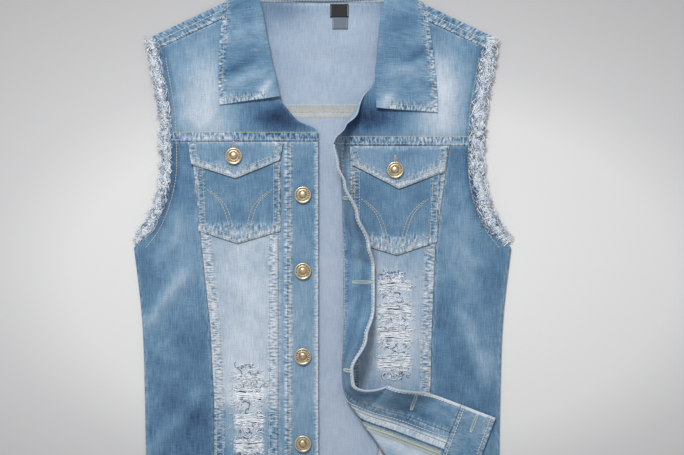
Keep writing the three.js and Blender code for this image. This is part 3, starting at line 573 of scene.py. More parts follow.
low, high = WAISTBAND_Y + SEAM_GAP / 2, BACK_YOKE_Y - SEAM_GAP / 2
foot_x, top_x = BACK_SEAM[1][0], BACK_SEAM[0][0]
pattern = four_sides((-foot_x, low), (foot_x, low), (-top_x, high), (top_x, high))
back_panel("back_centre", "back_centre_panel", pattern, back_fade, 4.2)
for side_name, sign in (("left", 1), ("right", -1)):
    pattern = half_pattern(
        sign,
        [[(foot_x + SEAM_GAP, low), (float(seam_x(SIDE_SEAM, low)), low)]],
        [[(top_x + SEAM_GAP, high), armhole_between(ARMPIT_Y, high)[-1]]],
        [[(foot_x + SEAM_GAP, low), (top_x + SEAM_GAP, high)]],
        side_edge(low, high),
    )
    name = f"back_{side_name}_side"
    back_panel(name, name + "_panel", pattern, back_fade, 4.4)
low_x, high_x = float(seam_x(SIDE_SEAM, HEM_Y)), float(seam_x(SIDE_SEAM, WAISTBAND_Y))
top = WAISTBAND_Y - SEAM_GAP / 2
pattern = four_sides((-low_x, HEM_Y), (low_x, HEM_Y), (-high_x, top), (high_x, top))
back_panel("back_band", "back_waistband", pattern, back_fade, 3.2)

# The back yoke: its flat part, from the yoke seam to the neck and the shoulders, and a strip on
# each side that rolls over the shoulder and is felled onto the front. Washing has roped the
# strips' double-stitched edges, so they are dark and pale in turn.
NECK_INSET = 5  # how far along the shoulder the yoke's neck corner lies
low = BACK_YOKE_Y + SEAM_GAP / 2
armhole = armhole_between(low, SHOULDER_TIP[1])
slope = (SHOULDER_TIP[1] - SHOULDER_NECK[1]) / (SHOULDER_TIP[0] - SHOULDER_NECK[0])
yoke_neck = (SHOULDER_NECK[0] + NECK_INSET, SHOULDER_NECK[1] + NECK_INSET * slope)


def yoke_fade(x, y):
    """Pale inside, greyer below the neck seam, and blue again where it is seen past the fold."""
    beyond = past_shoulder(x, y)[2]
    grey = 0.3 * np.exp(-(((x + 52) / 34) ** 2) - ((y - 296) / 24) ** 2) + 0.14 * ease((y - 284) / 20)
    return np.where(beyond > 1, 0.44, 0.6 + 0.1 * np.exp(-((x / 50) ** 2)) - grey)


pattern = (
    [[(-armhole[0][0], low), armhole[0]]],
    [[(-SHOULDER_TIP[0], SHOULDER_TIP[1]), (-yoke_neck[0], yoke_neck[1])],
     [(-yoke_neck[0], yoke_neck[1]), (-62, 309.5), (0, 306), (62, 309.5), yoke_neck],
     [yoke_neck, SHOULDER_TIP]],
    mirrored([armhole]),
    [armhole],
)
back_panel("back_yoke_cloth", "back_yoke", pattern, yoke_fade, 3.4)
nx, ny, _ = (float(value) for value in past_shoulder(np.array(yoke_neck[0]), np.array(yoke_neck[1])))
strip = SHOULDER_BEND + SHOULDER_BAND
far_neck, far_tip = ((x + nx * strip, y + ny * strip) for x, y in (yoke_neck, SHOULDER_TIP))
for side_name, sign in (("left", 1), ("right", -1)):
    pattern = half_pattern(sign, *four_sides(yoke_neck, SHOULDER_TIP, far_neck, far_tip))
    back_panel(f"{side_name}_shoulder_strip", "back_yoke", pattern, yoke_fade, 1.4,
               lambda x, y: np.full(np.shape(x), 0.8))


# Stitching of the back, seen inside: cream rows above and below its seams, rows along the panel
# seams, and overlocking over the raw edges. Every stitch is a short loop of thick cotton thread
# that dives into the cloth at both ends.
THREAD = 0.42
STITCH = 3.5
STITCH_SHARES = np.array([0, 0.25, 0.75, 1]) * 0.78  # where a stitch bends, in parts of its pitch


def thread_mesh(name, paths, radius, finish, tint, tapered=False, node=None):
    """One piece of many four-sided threads. paths are places by thread and by point, in metres."""
    paths = np.asarray(paths)
    count, points, _ = paths.shape
    run = np.gradient(paths, axis=1)
    run /= np.linalg.norm(run, axis=2, keepdims=True) + 1e-9
    beside = np.cross(run, (0.01, 0.02, 1.0))
    beside /= np.linalg.norm(beside, axis=2, keepdims=True) + 1e-9
    over = np.cross(beside, run)
    width = np.full(points, radius * MM)
    if tapered:
        width = width * np.linspace(1, 0.35, points)
    width = width[None, :, None]
    turns = [(1, 0), (0, 1), (-1, 0), (0, -1)]
    rings = np.stack([paths + width * (c * beside + s * over) for c, s in turns], axis=2)
    start = (np.arange(count)[:, None] * points + np.arange(points - 1)[None]) * 4
    k = np.arange(4)
    a = start[..., None] + k
    b = start[..., None] + (k + 1) % 4
    walls = np.stack([a, a + 4, b + 4, b], axis=-1).reshape(-1, 4)
    first = np.arange(count)[:, None] * points * 4 + k
    last = (first + (points - 1) * 4)[:, ::-1]
    mesh = bpy.data.meshes.new(name)
    mesh.from_pydata(rings.reshape(-1, 3).tolist(), [], np.vstack([walls, first, last]).tolist())
    shade = mesh.attributes.new("tint", "FLOAT", "POINT")
    shade.data.foreach_set("value", np.repeat(np.broadcast_to(tint, count), points * 4).astype(float))
    join_body(show_piece(name, mesh, [finish]), node)


def stitch_row(place, line, lift, pitch=STITCH, height=0.42):
    """The stitches of one row along a smooth line of the pattern."""
    dense = smooth_line(line, 200)
    reach = reach_along(dense)
    count = max(1, int(reach[-1] / pitch))
    at = np.arange(count)[:, None] * pitch + 0.4 + STITCH_SHARES * pitch
    x, y = at_reach(dense, at.ravel(), reach).T
    rise = np.tile([-0.25, height, height, -0.25], count)
    return place(x, y, lift + np.sign(lift) * rise).reshape(count, 4, 3)


def overlock(place, start, end, width, lift, pitch=2.2):
    """Loops that wrap a raw edge: a zigzag from side to side along a straight seam."""
    start, end = np.array(start, float), np.array(end, float)
    length = np.linalg.norm(end - start)
    run = (end - start) / length
    across = np.array((-run[1], run[0])) * width / 2
    count = int(length / pitch)
    at = (np.arange(count)[:, None] + np.array([0, 0.12, 0.5, 0.88, 1])) * pitch
    swing = np.array([-1, -0.9, 1, -0.9, -1])
    spots = start + run * at[..., None] + across * swing[:, None]
    x, y = spots.reshape(-1, 2).T
    rise = np.tile([0.2, 0.5, 0.5, 0.5, 0.2], count)
    return place(x, y, lift + np.sign(lift) * rise).reshape(count, 5, 3)


cream = fluff_finish("cream_thread", (190, 186, 172), (238, 235, 222), 90)
lines = [[(-150, y), (150, y)] for y in (184.2, 182.8, 169.2)]
lines += [[(-196, y), (196, y)] for y in (WAISTBAND_Y - 5, WAISTBAND_Y + 5)]
lines += [[(sign * (100 + shift), 170), (sign * (61 + shift), -298)] for sign in (1, -1) for shift in (3, 9)]
back_rows = [stitch_row(on_back, line, -BACK_LEVEL) for line in lines]
back_loops = []
for sign in (1, -1):
    back_loops.append(overlock(on_back, (sign * 106.5, 168), (sign * 67.5, -298), 6.5, -BACK_LEVEL))
    for shift in (2.2, 8.5):
        near = SHOULDER_BEND + SHOULDER_BAND - shift
        ends = [(sign * (x + nx * near), y + ny * near) for x, y in (yoke_neck, SHOULDER_TIP)]
        back_rows.append(stitch_row(on_back, ends, BACK_LEVEL + 0.8 * FELLED))
for y in (179.2, 173.4):
    back_loops.append(overlock(on_back, (-150, y), (150, y), 7, -BACK_LEVEL, pitch=1.5))
thread_mesh("back_stitching", np.vstack(back_rows), THREAD, cream, 0.55)
thread_mesh("back_overlocking", np.vstack(back_loops), 0.3, cream, 0.75)

# The fronts: each has a yoke, a placket, a narrow inner panel, a centre panel, a side panel and
# a doubled waistband. The right front lies flat. The left front's edge is turned out about a
# crease: it stands up in a curl at the chest, and its lower corner is folded over onto the front.
RIGHT = {
    "name": "right",
    "sign": -1,
    "edge": 5,
    "yoke_y": 140,
    "placket_seam": 41,
    "inner_seam": 53,
    "side_seam": [(158, 140), (146, 30), (134, -83), (129.5, -171), (129.5, WAISTBAND_Y)],
    "neck": [(13, 158), (29, 165), (44, 182), (54, 196), (62, 222), (73, 265), (84, 303)],
    "pocket": {"inner": 50, "outer": 152, "top": 116, "corner": 33, "tip": (101.6, 18)},
    "flap": {"inner": 47, "outer": 161, "inner_y": 118, "outer_y": 113, "tip": (104, 96)},
    "flap_button": (106, 122.6),
    "rip": {
        "inner": 72,
        "outer": 104,
        "windows": [(-140, -147), (-155, -168), (-187, -199), (-217, -230)],
    },
}
LEFT = {
    "name": "left",
    "sign": 1,
    "edge": -16,
    "yoke_y": 135,
    "placket_seam": 20,
    "inner_seam": 33,
    "side_seam": [(152, 135), (135, 14), (131, -83), (129, -171), (128.5, WAISTBAND_Y)],
    "neck": [(4, 164), (24, 178), (40, 190), (54, 202), (63, 216), (74, 262), (84, 303)],
    "pocket": {"inner": 36, "outer": 141, "top": 106, "corner": 20, "tip": (88.8, 4)},
    "flap": {"inner": 32, "outer": 150, "inner_y": 112, "outer_y": 104, "tip": (91.6, 83.4)},
    "flap_button": (87, 106),
    "rip": {
        "inner": 67,
        "outer": 105,
        "windows": [(-27, -36), (-55, -70), (-84, -99), (-117, -132)],
    },
}
CREASE_X = 29
ROLL_LENGTH = 11
NECK_ARC_Y, NECK_ARC_RADIUS, NECK_ARC_ANGLE = 140, 40, math.radians(30)
CORNER_ARC_Y, CORNER_ARC_RADIUS, CORNER_ARC_ANGLE = -142, 60, math.radians(34.5)
# How far down the crease, and how many degrees the cloth has gone over there
TURNS = [
    (-100, 1), (-76, 60), (-54, 140), (-40, 138), (-16, 96), (4, 76), (30, 84), (52, 97), (88, 121),
    (124, 150), (150, 174), (196, 174), (232, 142), (270, 110), (288, 112), (320, 150), (372, 180),
]


def on_right_front(x, y, lift):
    return placed(x, y, front_height(x, y) + lift)


def near_crease(x, y):
    """The crease's nearest point, its direction to the edge, how far beyond, and how far down."""
    at_neck = y > NECK_ARC_Y
    start = np.where(at_neck, NECK_ARC_Y, CORNER_ARC_Y)
    radius = np.where(at_neck, NECK_ARC_RADIUS, CORNER_ARC_RADIUS)
    angle = np.where(at_neck, NECK_ARC_ANGLE, CORNER_ARC_ANGLE)
    sign = np.where(at_neck, 1, -1)
    past = sign * (y - start)
    straight = past <= 0
    past = np.maximum(past, 0)
    from_centre = x - CREASE_X - radius
    swing = np.minimum(np.arctan2(past, -from_centre), angle)
    cos, sin = np.cos(swing), np.sin(swing)
    along = np.where(swing < angle, 0, from_centre * sin + past * cos)
    base_x = np.where(straight, CREASE_X, CREASE_X + radius - radius * cos + along * sin)
    base_y = np.where(straight, y, start + sign * (radius * sin + along * cos))
    nx = np.where(straight, -1, -cos)
    ny = np.where(straight, 0, sign * sin)
    beyond = np.where(straight, CREASE_X - x, past * sin - from_centre * cos - radius)
    down = np.where(straight, NECK_ARC_Y - y, NECK_ARC_Y - start - sign * (radius * swing + along))
    return base_x, base_y, nx, ny, beyond, down


def on_left_front(x, y, lift):
    base_x, base_y, nx, ny, beyond, down = near_crease(x, y)
    downs, degrees = np.array(TURNS, float).T
    i = np.clip(np.searchsorted(downs, down) - 1, 0, len(downs) - 2)
    share = ease((down - downs[i]) / (downs[i + 1] - downs[i]))
    turn = np.radians(degrees[i] + share * (degrees[i + 1] - degrees[i]))
    bent = np.clip(beyond / ROLL_LENGTH, 0, 1) * turn
    radius = ROLL_LENGTH / turn
    straight = np.maximum(0, beyond - ROLL_LENGTH)
    out = (radius - lift) * np.sin(bent) + straight * np.cos(bent)
    land_x, land_y = base_x + nx * out, base_y + ny * out
    settle = 1 - 0.42 * ease(straight / 70) * ease((turn - 2.6) / 0.5)
    rise = (radius * (1 - np.cos(bent)) + straight * np.sin(bent)) * settle
    near = front_height(base_x, base_y)
    below = near + (front_height(land_x, land_y) - near) * ease(straight / 30)
    flat = beyond <= 0
    land_x, land_y = np.where(flat, x, land_x), np.where(flat, y, land_y)
    height = np.where(flat, front_height(x, y) + lift, below + rise + lift * np.cos(bent))
    return placed(land_x, land_y, height)


for front, place, held, under in (
    (RIGHT, on_right_front, "laid", inside), (LEFT, on_left_front, "folded", facing),
):
    front.update(
        place=place, held=held, finishes=[outside, under, cut_edge],
        span=(WAISTBAND_Y + SEAM_GAP, front["yoke_y"] - SEAM_GAP / 2),
        beneath=[f"back_{front['name']}_side_panel", "back_centre_panel"],
    )


def front_panel(front, part, sides, fade, slot, rests_on, step, middle=0, thickness=CLOTH, held=None,
                cloth=None, **looks):
    """A panel of a front, cut from sides given as distances from the centre line, and joined."""
    name = f"{front['name']}_{cloth or part}_cloth"
    panel = cut_panel(name, half_pattern(front["sign"], *sides), front["place"], middle, thickness,
                      front["finishes"], fade, step, **looks)
    finish_panel(panel, f"{front['name']}_{part}")


def band(value, low, high, soft=1.6):
    """1 between two places across a seam, and 0 outside them."""
    return ease((value - low) / soft + 0.5) * ease((high - value) / soft + 0.5)


def fold_wear_and_shade(x, y):
    """Folds wear pale along their ridges, and their troughs are painted darker as shade."""
    return 0.055 * folds_at(FRONT_FOLDS, x, y)


def left_inside(x, y):
    """Shades of the turned front's inside: a blue facing, a pale strip, and the pale inside."""
    blotch = 0.05 * np.sin(x * 0.31 + y * 0.043) + 0.05 * np.sin(y * 0.087 + 1)
    strip = 0.42 * band(x, 29.5, 41) + 0.36 * band(x, 50, 400, 3)
    seam = 0.3 * band(x, 41, 43, 1.2)
    return 0.42 + blotch + strip - seam + 0.45 * band(x, -17, -13.4, 1.4)


def patch(x, y, centre, reach):
    """A soft spot, 1 in its middle and 0 outside its reach."""
    return np.exp(-(((x - centre[0]) / reach[0]) ** 2) - ((y - centre[1]) / reach[1]) ** 2)


def beside_armhole(x, y):
    """Cloth stays dark in a narrow strip beside the fray."""
    inwards = seam_x(ARMHOLE, y) - np.abs(x)
    return 0.11 * band(inwards, 5, 15, 8) * ease((y - ARMPIT_Y) / 20)


def front_yoke_fade(front):
    """Bleached in the middle, blue by the armhole and the shoulder, and darker below the collar, where it is
    less faded and carries painted shade from the collar.
    """
    middle = (front["sign"] * 142, 196)

    def fade(x, y):
        pale = 0.42 * patch(x, y, middle, (30, 52))
        pale = pale + 0.12 * patch(x, y, (front["sign"] * 110, 160), (60, 20))
        # Below the collar: less faded cloth, and painted shade cast by the collar.
        unfaded_and_shaded_under_collar = 0.46 * patch(x, y, (front["sign"] * 56, 168), (34, 19))
        return 0.44 + pale - unfaded_and_shaded_under_collar - beside_armhole(x, y)

    return fade


for front in (RIGHT, LEFT):
    low = front["yoke_y"] + SEAM_GAP / 2
    down = SHOULDER_BAND + SEAM_GAP
    tip = (SHOULDER_TIP[0] - nx * down, SHOULDER_TIP[1] - ny * down)
    armhole = [*armhole_between(low, tip[1] - 12), tip]
    edge_top = (front["edge"], low + 12)
    sides = (
        [[(front["edge"], low), armhole[0]]],
        [[front["neck"][6], tip]],
        [[(front["edge"], low), edge_top], [edge_top, *front["neck"]]],
        [armhole],
    )
    front_panel(front, "front_yoke", sides, front_yoke_fade(front), "pale_denim", ["back_yoke"], 2.9,
                inner=lambda x, y: 0.66 + 0.14 * np.sin(x * 0.9) * np.sin(y * 0.6),
                roped=lambda x, y: band(y, low, low + 11))

# Plackets, inner panels and waistbands. A placket and a waistband are doubled cloth, and their
# long edges have roped in the wash. The left placket's cut edge is turned and has worn white.
for front in (RIGHT, LEFT):
    low, high = front["span"]

    def placket_fade(x, y):
        across = np.abs(x) if front is RIGHT else x
        worn = 0.3 * np.exp(-(((across - front["edge"]) / 2.4) ** 2))
        lower = 0.16 * patch(x, y, (0, -110), (400, 90))
        return 0.47 + lower + worn

    def inner_fade(x, y):
        return 0.5 + 0.1 * patch(x, y, (0, -80), (400, 110))

    def roped(x, y):
        across = np.abs(x) if front is RIGHT else x
        near_seam = band(across, front["placket_seam"] - 5, front["placket_seam"] + 5, 3)
        return 0.7 * near_seam + 0.5 * band(across, front["edge"] - 1, front["edge"] + 5, 3)

    near, far = front["edge"], front["placket_seam"]
    for part, a, b, thickness, fade in (
        ("placket", near, far, CLOTH + DOUBLED, placket_fade),
        ("inner_panel", far + SEAM_GAP, front["inner_seam"], CLOTH, inner_fade),
    ):
        front_panel(front, part, four_sides((a, low), (b, low), (a, high), (b, high)), fade,
                    "washed_denim", front["beneath"], 1.9, (thickness - CLOTH) / 2, thickness,
                    inner=left_inside, roped=roped)
    top = WAISTBAND_Y - SEAM_GAP
    foot_x, top_x = float(seam_x(SIDE_SEAM, HEM_Y)), float(seam_x(SIDE_SEAM, top))
    sides = four_sides((near, HEM_Y), (foot_x, HEM_Y), (near, top), (top_x, top))
    front_panel(front, "front_waistband", sides, lambda x, y: 0.46 + 0 * x, "washed_denim",
                ["back_waistband"], 2.0, DOUBLED / 2, CLOTH + DOUBLED,
                inner=lambda x, y: 0.5 + 0.4 * band(x, -17, -13.4, 1.4),
                roped=lambda x, y: 1 - 0.7 * band(y, HEM_Y + 10, WAISTBAND_Y - 10, 5))

# Centre panels: bleached down the thigh of each front, and ripped on purpose. The dyed warp is
# worn away in windows of uneven height, and ragged bridges of cloth are left between them.
RAGGED = [(0.9, 0.31, 0.0), (0.7, 0.83, 1.3), (0.5, 1.7, 4.1)]  # height, pace and start of waves


def ragged(x):
    return sum(height * np.sin(pace * x + start) for height, pace, start in RAGGED)


def in_window(front, x, y):
    """Whether a place of the pattern lies in one of a front's windows."""
    rip = front["rip"]
    across = x * front["sign"]
    sides = (across > rip["inner"] + 1.2 * ragged(y)) & (across < rip["outer"] - ragged(y * 1.3))
    inside_any = np.zeros(np.shape(x), bool)
    for top, foot in rip["windows"]:
        wave = 1.1 * ragged(x + top)
        inside_any |= (y < top + wave) & (y > foot + wave)
    return inside_any & sides


def centre_fade(front):
    rip = front["rip"]
    middle_y = (rip["windows"][0][0] + rip["windows"][-1][1]) / 2
    middle = ((rip["inner"] + rip["outer"]) / 2 * front["sign"], middle_y)

    def fade(x, y):
        worn = 0.2 * patch(x, y, middle, (32, 62))
        frayed = 0.24 * patch(x, y, middle, (18, 54))
        if front is LEFT:
            return 0.62 + worn + frayed - 0.16 * ease((-150 - y) / 60)
        pale = 0.2 * patch(x, y, (-84, -60), (60, 100))
        return 0.66 + pale + worn * 0.8 + frayed - 0.22 * ease((-168 - y) / 22)

    return fade


def felled_bands(x, y):
    """The double-stitched bands along both seams of the centre panel being cut."""
    across = x * front["sign"]
    outer = seam_x(front["side_seam"], y)
    inner = front["inner_seam"]
    return band(across, inner, inner + 11.5) + band(across, outer - 12.5, outer)


for front in (RIGHT, LEFT):
    near = front["inner_seam"] + SEAM_GAP
    low, high = front["span"]
    seam = front["side_seam"][::-1]
    seam[0], seam[-1] = (seam[0][0], low), (seam[-1][0], high)
    sides = (
        [[(near, low), seam[0]]], [[(near, high), seam[-1]]], [[(near, low), (near, high)]],
        [[a, b] for a, b in zip(seam, seam[1:])],
    )
    front_panel(front, "centre_panel", sides, centre_fade(front), "pale_denim", front["beneath"], 2.1,
                keep=lambda x, y: not in_window(front, x, y), inner=left_inside, roped=felled_bands)

# Loose threads of the rips: undyed weft yarns still cross every window, close together and a
# little slack. Short ends curl along the windows' ragged edges, and dyed and undyed loops have
# sprung out of the bridges between them. The darkest dyed loops also stand in for painted shade
# in the cracks of the bridges.
dice = np.random.default_rng(7)
white_yarn = fluff_finish("undyed_yarn", (150, 172, 196), (238, 241, 244), 220)
WEFT_PITCH = 0.66
WEFT_POINTS = 14


def crossing_yarns(front):
    """Weft yarns from side to side of the windows."""
    rip = front["rip"]
    paths = []
    for top, foot in rip["windows"]:
        count = int((top - foot + 4) / WEFT_PITCH)
        for i in range(count):
            across = np.linspace(rip["inner"] - 5, rip["outer"] + 5, WEFT_POINTS)
            share = np.linspace(0, 1, WEFT_POINTS)
            slack = np.sin(share * math.pi)
            y = foot - 2 + i * WEFT_PITCH + dice.normal(0, 0.34)
            wander = dice.normal(0, 1.1) * slack + 0.6 * np.sin(share * dice.uniform(5, 16) + 2 * i)
            rise = 0.2 + dice.uniform(-0.3, 1.1) * slack
            lift = np.where(slack < 0.25, -0.2, 0.15) + rise
            paths.append(front["place"](across * front["sign"], y + wander, lift))
    return np.array(paths)


def curled_ends(front, count):
    """Short ends of yarn that curl up from the windows' edges."""
    rip = front["rip"]
    paths, tints = [], []
    for _ in range(count):
        top, foot = rip["windows"][dice.integers(len(rip["windows"]))]
        edge = top if dice.random() < 0.5 else foot
        x = dice.uniform(rip["inner"] - 5, rip["outer"] + 5)
        y = edge + dice.normal(0, 2.6)
        heading = dice.uniform(0, 2 * math.pi)
        bend = dice.normal(0, 0.5)
        steps = heading + bend * np.arange(7)
        length = dice.uniform(0.5, 1.5)
        xs = x + np.cumsum(np.cos(steps)) * length
        ys = y + np.cumsum(np.sin(steps)) * length * 0.8
        rise = dice.uniform(0.6, 2.4)
        lift = 0.5 + rise * np.sin(np.linspace(0, math.pi, 7)) + 0.2
        paths.append(front["place"](xs * front["sign"], ys, lift))
        tints.append(dice.choice([0.3, 0.7, 0.9, 1.0]))
    return np.array(paths), np.array(tints)


def sprung_curls(front, count, largest):
    """Loops of yarn that have sprung out of the ragged bridges between the windows."""
    rip = front["rip"]
    feet = [foot for _, foot in rip["windows"][:-1]]
    tops = [top for top, _ in rip["windows"][1:]]
    first, last = rip["windows"][0][0], rip["windows"][-1][1]
    bridges = [(first + 13, first), *zip(feet, tops), (last, last - 11)]
    paths = []
    for i in range(count):
        top, foot = bridges[i % len(bridges)]
        x = dice.uniform(rip["inner"] + 1, rip["outer"] - 1)
        y = dice.uniform(foot, top)
        t = np.linspace(0, 1, 10)
        swing = dice.uniform(0, 2 * math.pi) + dice.uniform(1.2, 4.4) * t
        size = dice.uniform(0.8, largest)
        xs = x + size * np.cos(swing) + dice.normal(0, 2.5) * t
        ys = y + 0.7 * size * np.sin(swing) + dice.normal(0, 3) * t
        lift = 0.75 + dice.uniform(0.2, 1.3) * np.sin(t * math.pi)
        paths.append(front["place"](xs * front["sign"], ys, lift))
    return np.array(paths)


dyed_yarn = fluff_finish("dyed_yarn", (84, 106, 128), (182, 196, 208), 220)
for front in (RIGHT, LEFT):
    name = front["name"]
    yarns = crossing_yarns(front)
    tints = dice.uniform(0.6, 1.1, len(yarns))
    thread_mesh(f"{name}_rip_yarns", yarns, 0.5, white_yarn, tints, node=f"{name}_rip_threads")
    ends, tints = curled_ends(front, 220)
    thread_mesh(f"{name}_rip_ends", ends, 0.34, white_yarn, tints, tapered=True)
    # The dark dyed curls are partly blue yarn of the bridges and partly painted shade: dark strands standing
    # in for the shade in the cracks between them.
    for part, count, largest, radius, yarn, darkest, palest in (
        ("curls", 46, 4.4, 0.38, dyed_yarn, -0.4, 0.5), ("tangle", 120, 4.6, 0.46, white_yarn, 0.5, 1.1),
    ):
        curls = sprung_curls(front, count, largest)
        thread_mesh(f"{name}_rip_{part}", curls, radius, yarn, dice.uniform(darkest, palest, count))

# Side panels: one layer each, from the curved seam to the side seam and the armhole. They are
# the bluest part, creased by hand folds that run in from the side seam.
for front in (RIGHT, LEFT):
    low, high = front["span"]
    seam = [(x + 2 * SEAM_GAP, y) for x, y in front["side_seam"]][::-1]
    seam[0], seam[-1] = (seam[0][0], low), (seam[-1][0], high)

    def side_fade(x, y):
        sign = front["sign"]
        light = 0.16 * patch(x, y, (sign * 168, 10), (26, 70))
        light = light + 0.1 * patch(x, y, (sign * 196, -120), (20, 50))
        dark = 0.12 * patch(x, y, (sign * 165, -220), (40, 80))
        dark = dark + 0.1 * patch(x, y, (sign * 182, 90), (12, 50))
        # The folds' share is wear on their ridges and painted shade in their troughs.
        return 0.38 + light - dark + fold_wear_and_shade(x, y) - beside_armhole(x, y)

    sides = (
        [[seam[0], (float(seam_x(SIDE_SEAM, low)), low)]],
        [[seam[-1], armhole_between(ARMPIT_Y, high)[-1]]],
        [[a, b] for a, b in zip(seam, seam[1:])],
        side_edge(low, high),
    )
    front_panel(front, "side_panel", sides, side_fade, "washed_denim", front["beneath"][:1], 2.8,
                inner=lambda x, y: 0.68 + 0 * x)

# Chest pockets: a patch pocket with a pointed foot, sewn on the centre panel, and a pointed flap
# over it. Both edges are worn pale where they are thick, the flap is darker in its middle, and the
# pocket carries a painted shadow just below the flap's point.
POCKET_LIFT = CLOTH / 2 + SEAM_GAP
FLAP_LIFT = POCKET_LIFT + CLOTH + SEAM_GAP
FLAP_THICKNESS = 1.6
for front in (RIGHT, LEFT):
    pocket, flap = front["pocket"], front["flap"]
    sign, name = front["sign"], front["name"]
    corner_in = (pocket["inner"], pocket["corner"])
    corner_out = (pocket["outer"] - 4, pocket["corner"])
    top_in, top_out = (pocket["inner"], pocket["top"]), (pocket["outer"], pocket["top"])

    def pocket_fade(x, y):
        centre = sign * (pocket["inner"] + pocket["outer"]) / 2
        foot = 0.2 * ease((pocket["corner"] + 16 - y) / 18)
        # The spot taken off below the pocket's top is a painted shadow of the flap.
        return 0.44 + foot - 0.06 * patch(x, y, (centre, pocket["top"] - 28), (36, 12))

    def pocket_roped(x, y):
        clear = band(x * sign, pocket["inner"] + 8, pocket["outer"] - 12)
        return 0.75 * (1 - clear * ease((y - pocket["corner"] - 6) / 6))

    sides = (
        [[corner_in, pocket["tip"]], [pocket["tip"], corner_out]],
        [[top_in, top_out]], [[corner_in, top_in]], [[corner_out, top_out]],
    )
    front_panel(front, "pocket", sides, pocket_fade, "washed_denim", [f"{name}_centre_panel"], 1.8,
                POCKET_LIFT + CLOTH / 2, held="laid", roped=pocket_roped)

    def above_foot(x, y):
        """Height above the flap's pointed foot."""
        share = np.abs(np.abs(x) - flap["tip"][0]) / 56
        return y - (flap["tip"][1] + share * (flap["inner_y"] - flap["tip"][1]))

    def flap_fade(x, y):
        worn = 0.2 * np.exp(-((above_foot(x, y) / 5.5) ** 2))
        return 0.53 + worn - 0.08 * patch(x, y, (sign * 104, 128), (30, 9))

    def flap_roped(x, y):
        ends = 1 - band(x * sign, flap["inner"] + 10, flap["outer"] - 10)
        return np.maximum(0.85 * np.exp(-(((above_foot(x, y) - 5) / 7) ** 2)), 0.7 * ends)

    foot_in, foot_out = (flap["inner"] + 4, flap["inner_y"]), (flap["outer"] - 4, flap["outer_y"])
    top_in, top_out = ((flap[end], front["yoke_y"] - 1) for end in ("inner", "outer"))
    sides = (
        [[foot_in, flap["tip"]], [flap["tip"], foot_out]],
        [[top_in, top_out]], [[foot_in, top_in]], [[foot_out, top_out]],
    )
    front_panel(front, "pocket_flap", sides, flap_fade, "washed_denim", [f"{name}_pocket"], 1.8,
                FLAP_LIFT + FLAP_THICKNESS / 2, FLAP_THICKNESS, "laid", "flap", roped=flap_roped)

# Stitching of the fronts: thick cream and tan thread, in double rows along the felled seams, the
# yoke, the pockets and the flaps, and in single rows along the placket and the waistband. Each
# pocket carries a plain pair of curved rows from its upper corners to its foot.
tan = fluff_finish("tan_thread", (172, 164, 146), (222, 216, 200), 90)
OUT = CLOTH / 2 + 0.02
OUT_FELLED = OUT + FELLED
OUT_DOUBLED = CLOTH / 2 + DOUBLED + 0.02
OUT_POCKET = POCKET_LIFT + CLOTH + 0.02
OUT_FLAP = FLAP_LIFT + FLAP_THICKNESS + 0.02
EDGE_FELLED = 0.7 * FELLED


def front_rows(front):
    """Every row of a front, as points given by distance from the centre line, and its lift."""
    edge, yoke = front["edge"], front["yoke_y"]
    seam, inner = front["side_seam"], front["inner_seam"]
    low = WAISTBAND_Y + 3
    rows = [([(edge + 3, yoke + up), (183, yoke + up)], OUT + 0.8 * FELLED) for up in (2.6, 11)]
    for near in (3.2, front["placket_seam"] - edge - 3):
        rows.append(([(edge + near, low), (edge + near, yoke - 3)], OUT_DOUBLED + EDGE_FELLED / 2))
    for near in (2.6, 10.5):
        rows.append(([(inner + near, low), (inner + near, yoke - 3)], OUT_FELLED))
        rows.append(([(x - near, min(max(y, low), yoke - 3)) for x, y in seam], OUT_FELLED))
    for up in (-4, -38):
        rows.append(([(edge + 3, WAISTBAND_Y + up), (206, WAISTBAND_Y + up)], OUT_DOUBLED + FELLED))
    pocket, flap = front["pocket"], front["flap"]
    for inset in (2.4, 8.2):
        a, b = pocket["inner"] + inset, pocket["outer"] - 4 - inset
        foot, top = pocket["corner"] + inset * 0.75, pocket["top"] - 2
        point = (pocket["tip"][0], pocket["tip"][1] + inset)
        runs = [[(a, foot), (a, top)], [(b, foot), (b + 4, top)], [(a, foot), point], [point, (b, foot)]]
        rows += [(run, OUT_POCKET + EDGE_FELLED) for run in runs]
        a, b = flap["inner"] + 4 + inset, flap["outer"] - 4 - inset
        near, far = (a, flap["inner_y"] + inset * 0.6), (b, flap["outer_y"] + inset * 0.6)
        point = (flap["tip"][0], flap["tip"][1] + inset * 1.05)
        runs = [[(a - 3.4, yoke - 4), near], [near, point], [point, far], [far, (b + 3.4, yoke - 4)]]
        rows += [(run, OUT_FLAP + EDGE_FELLED) for run in runs]
    for inset in (0, 5):
        for shift, shares in ((inset, (0.1, 0.29, 0.4)), (-inset, (0.9, 0.71, 0.6))):
            curve = []
            for share, up in zip(shares, (0.6, 0.36, -0.08)):
                x = pocket["inner"] + share * (pocket["outer"] - 4 - pocket["inner"])
                y = pocket["corner"] + up * (pocket["top"] - pocket["corner"])
                curve.append((x + shift, y - 0.4 * inset))
            rows.append((curve, OUT_POCKET))
    return rows


def armhole_run(count):
    """The armhole's edge in count steps, and its direction at each."""
    edge = smooth_line(ARMHOLE, count)
    run = np.gradient(edge, axis=0)
    return edge, run / np.linalg.norm(run, axis=1, keepdims=True)


def along_armhole(inset):
    """A row that follows the armhole, in from its cut edge."""
    edge, run = armhole_run(60)
    line = edge + np.column_stack([run[:, 1], -run[:, 0]]) * inset
    return [(x, y) for x, y in line if y < 244]


for front in (RIGHT, LEFT):
    sign = front["sign"]
    stitches = []
    for line, lift in [*front_rows(front), (along_armhole(11), OUT)]:
        stitches.append(stitch_row(front["place"], [(sign * x, y) for x, y in line], lift))
    thread_mesh(f"{front['name']}_front_stitching", np.vstack(stitches), THREAD, tan, 0.5)

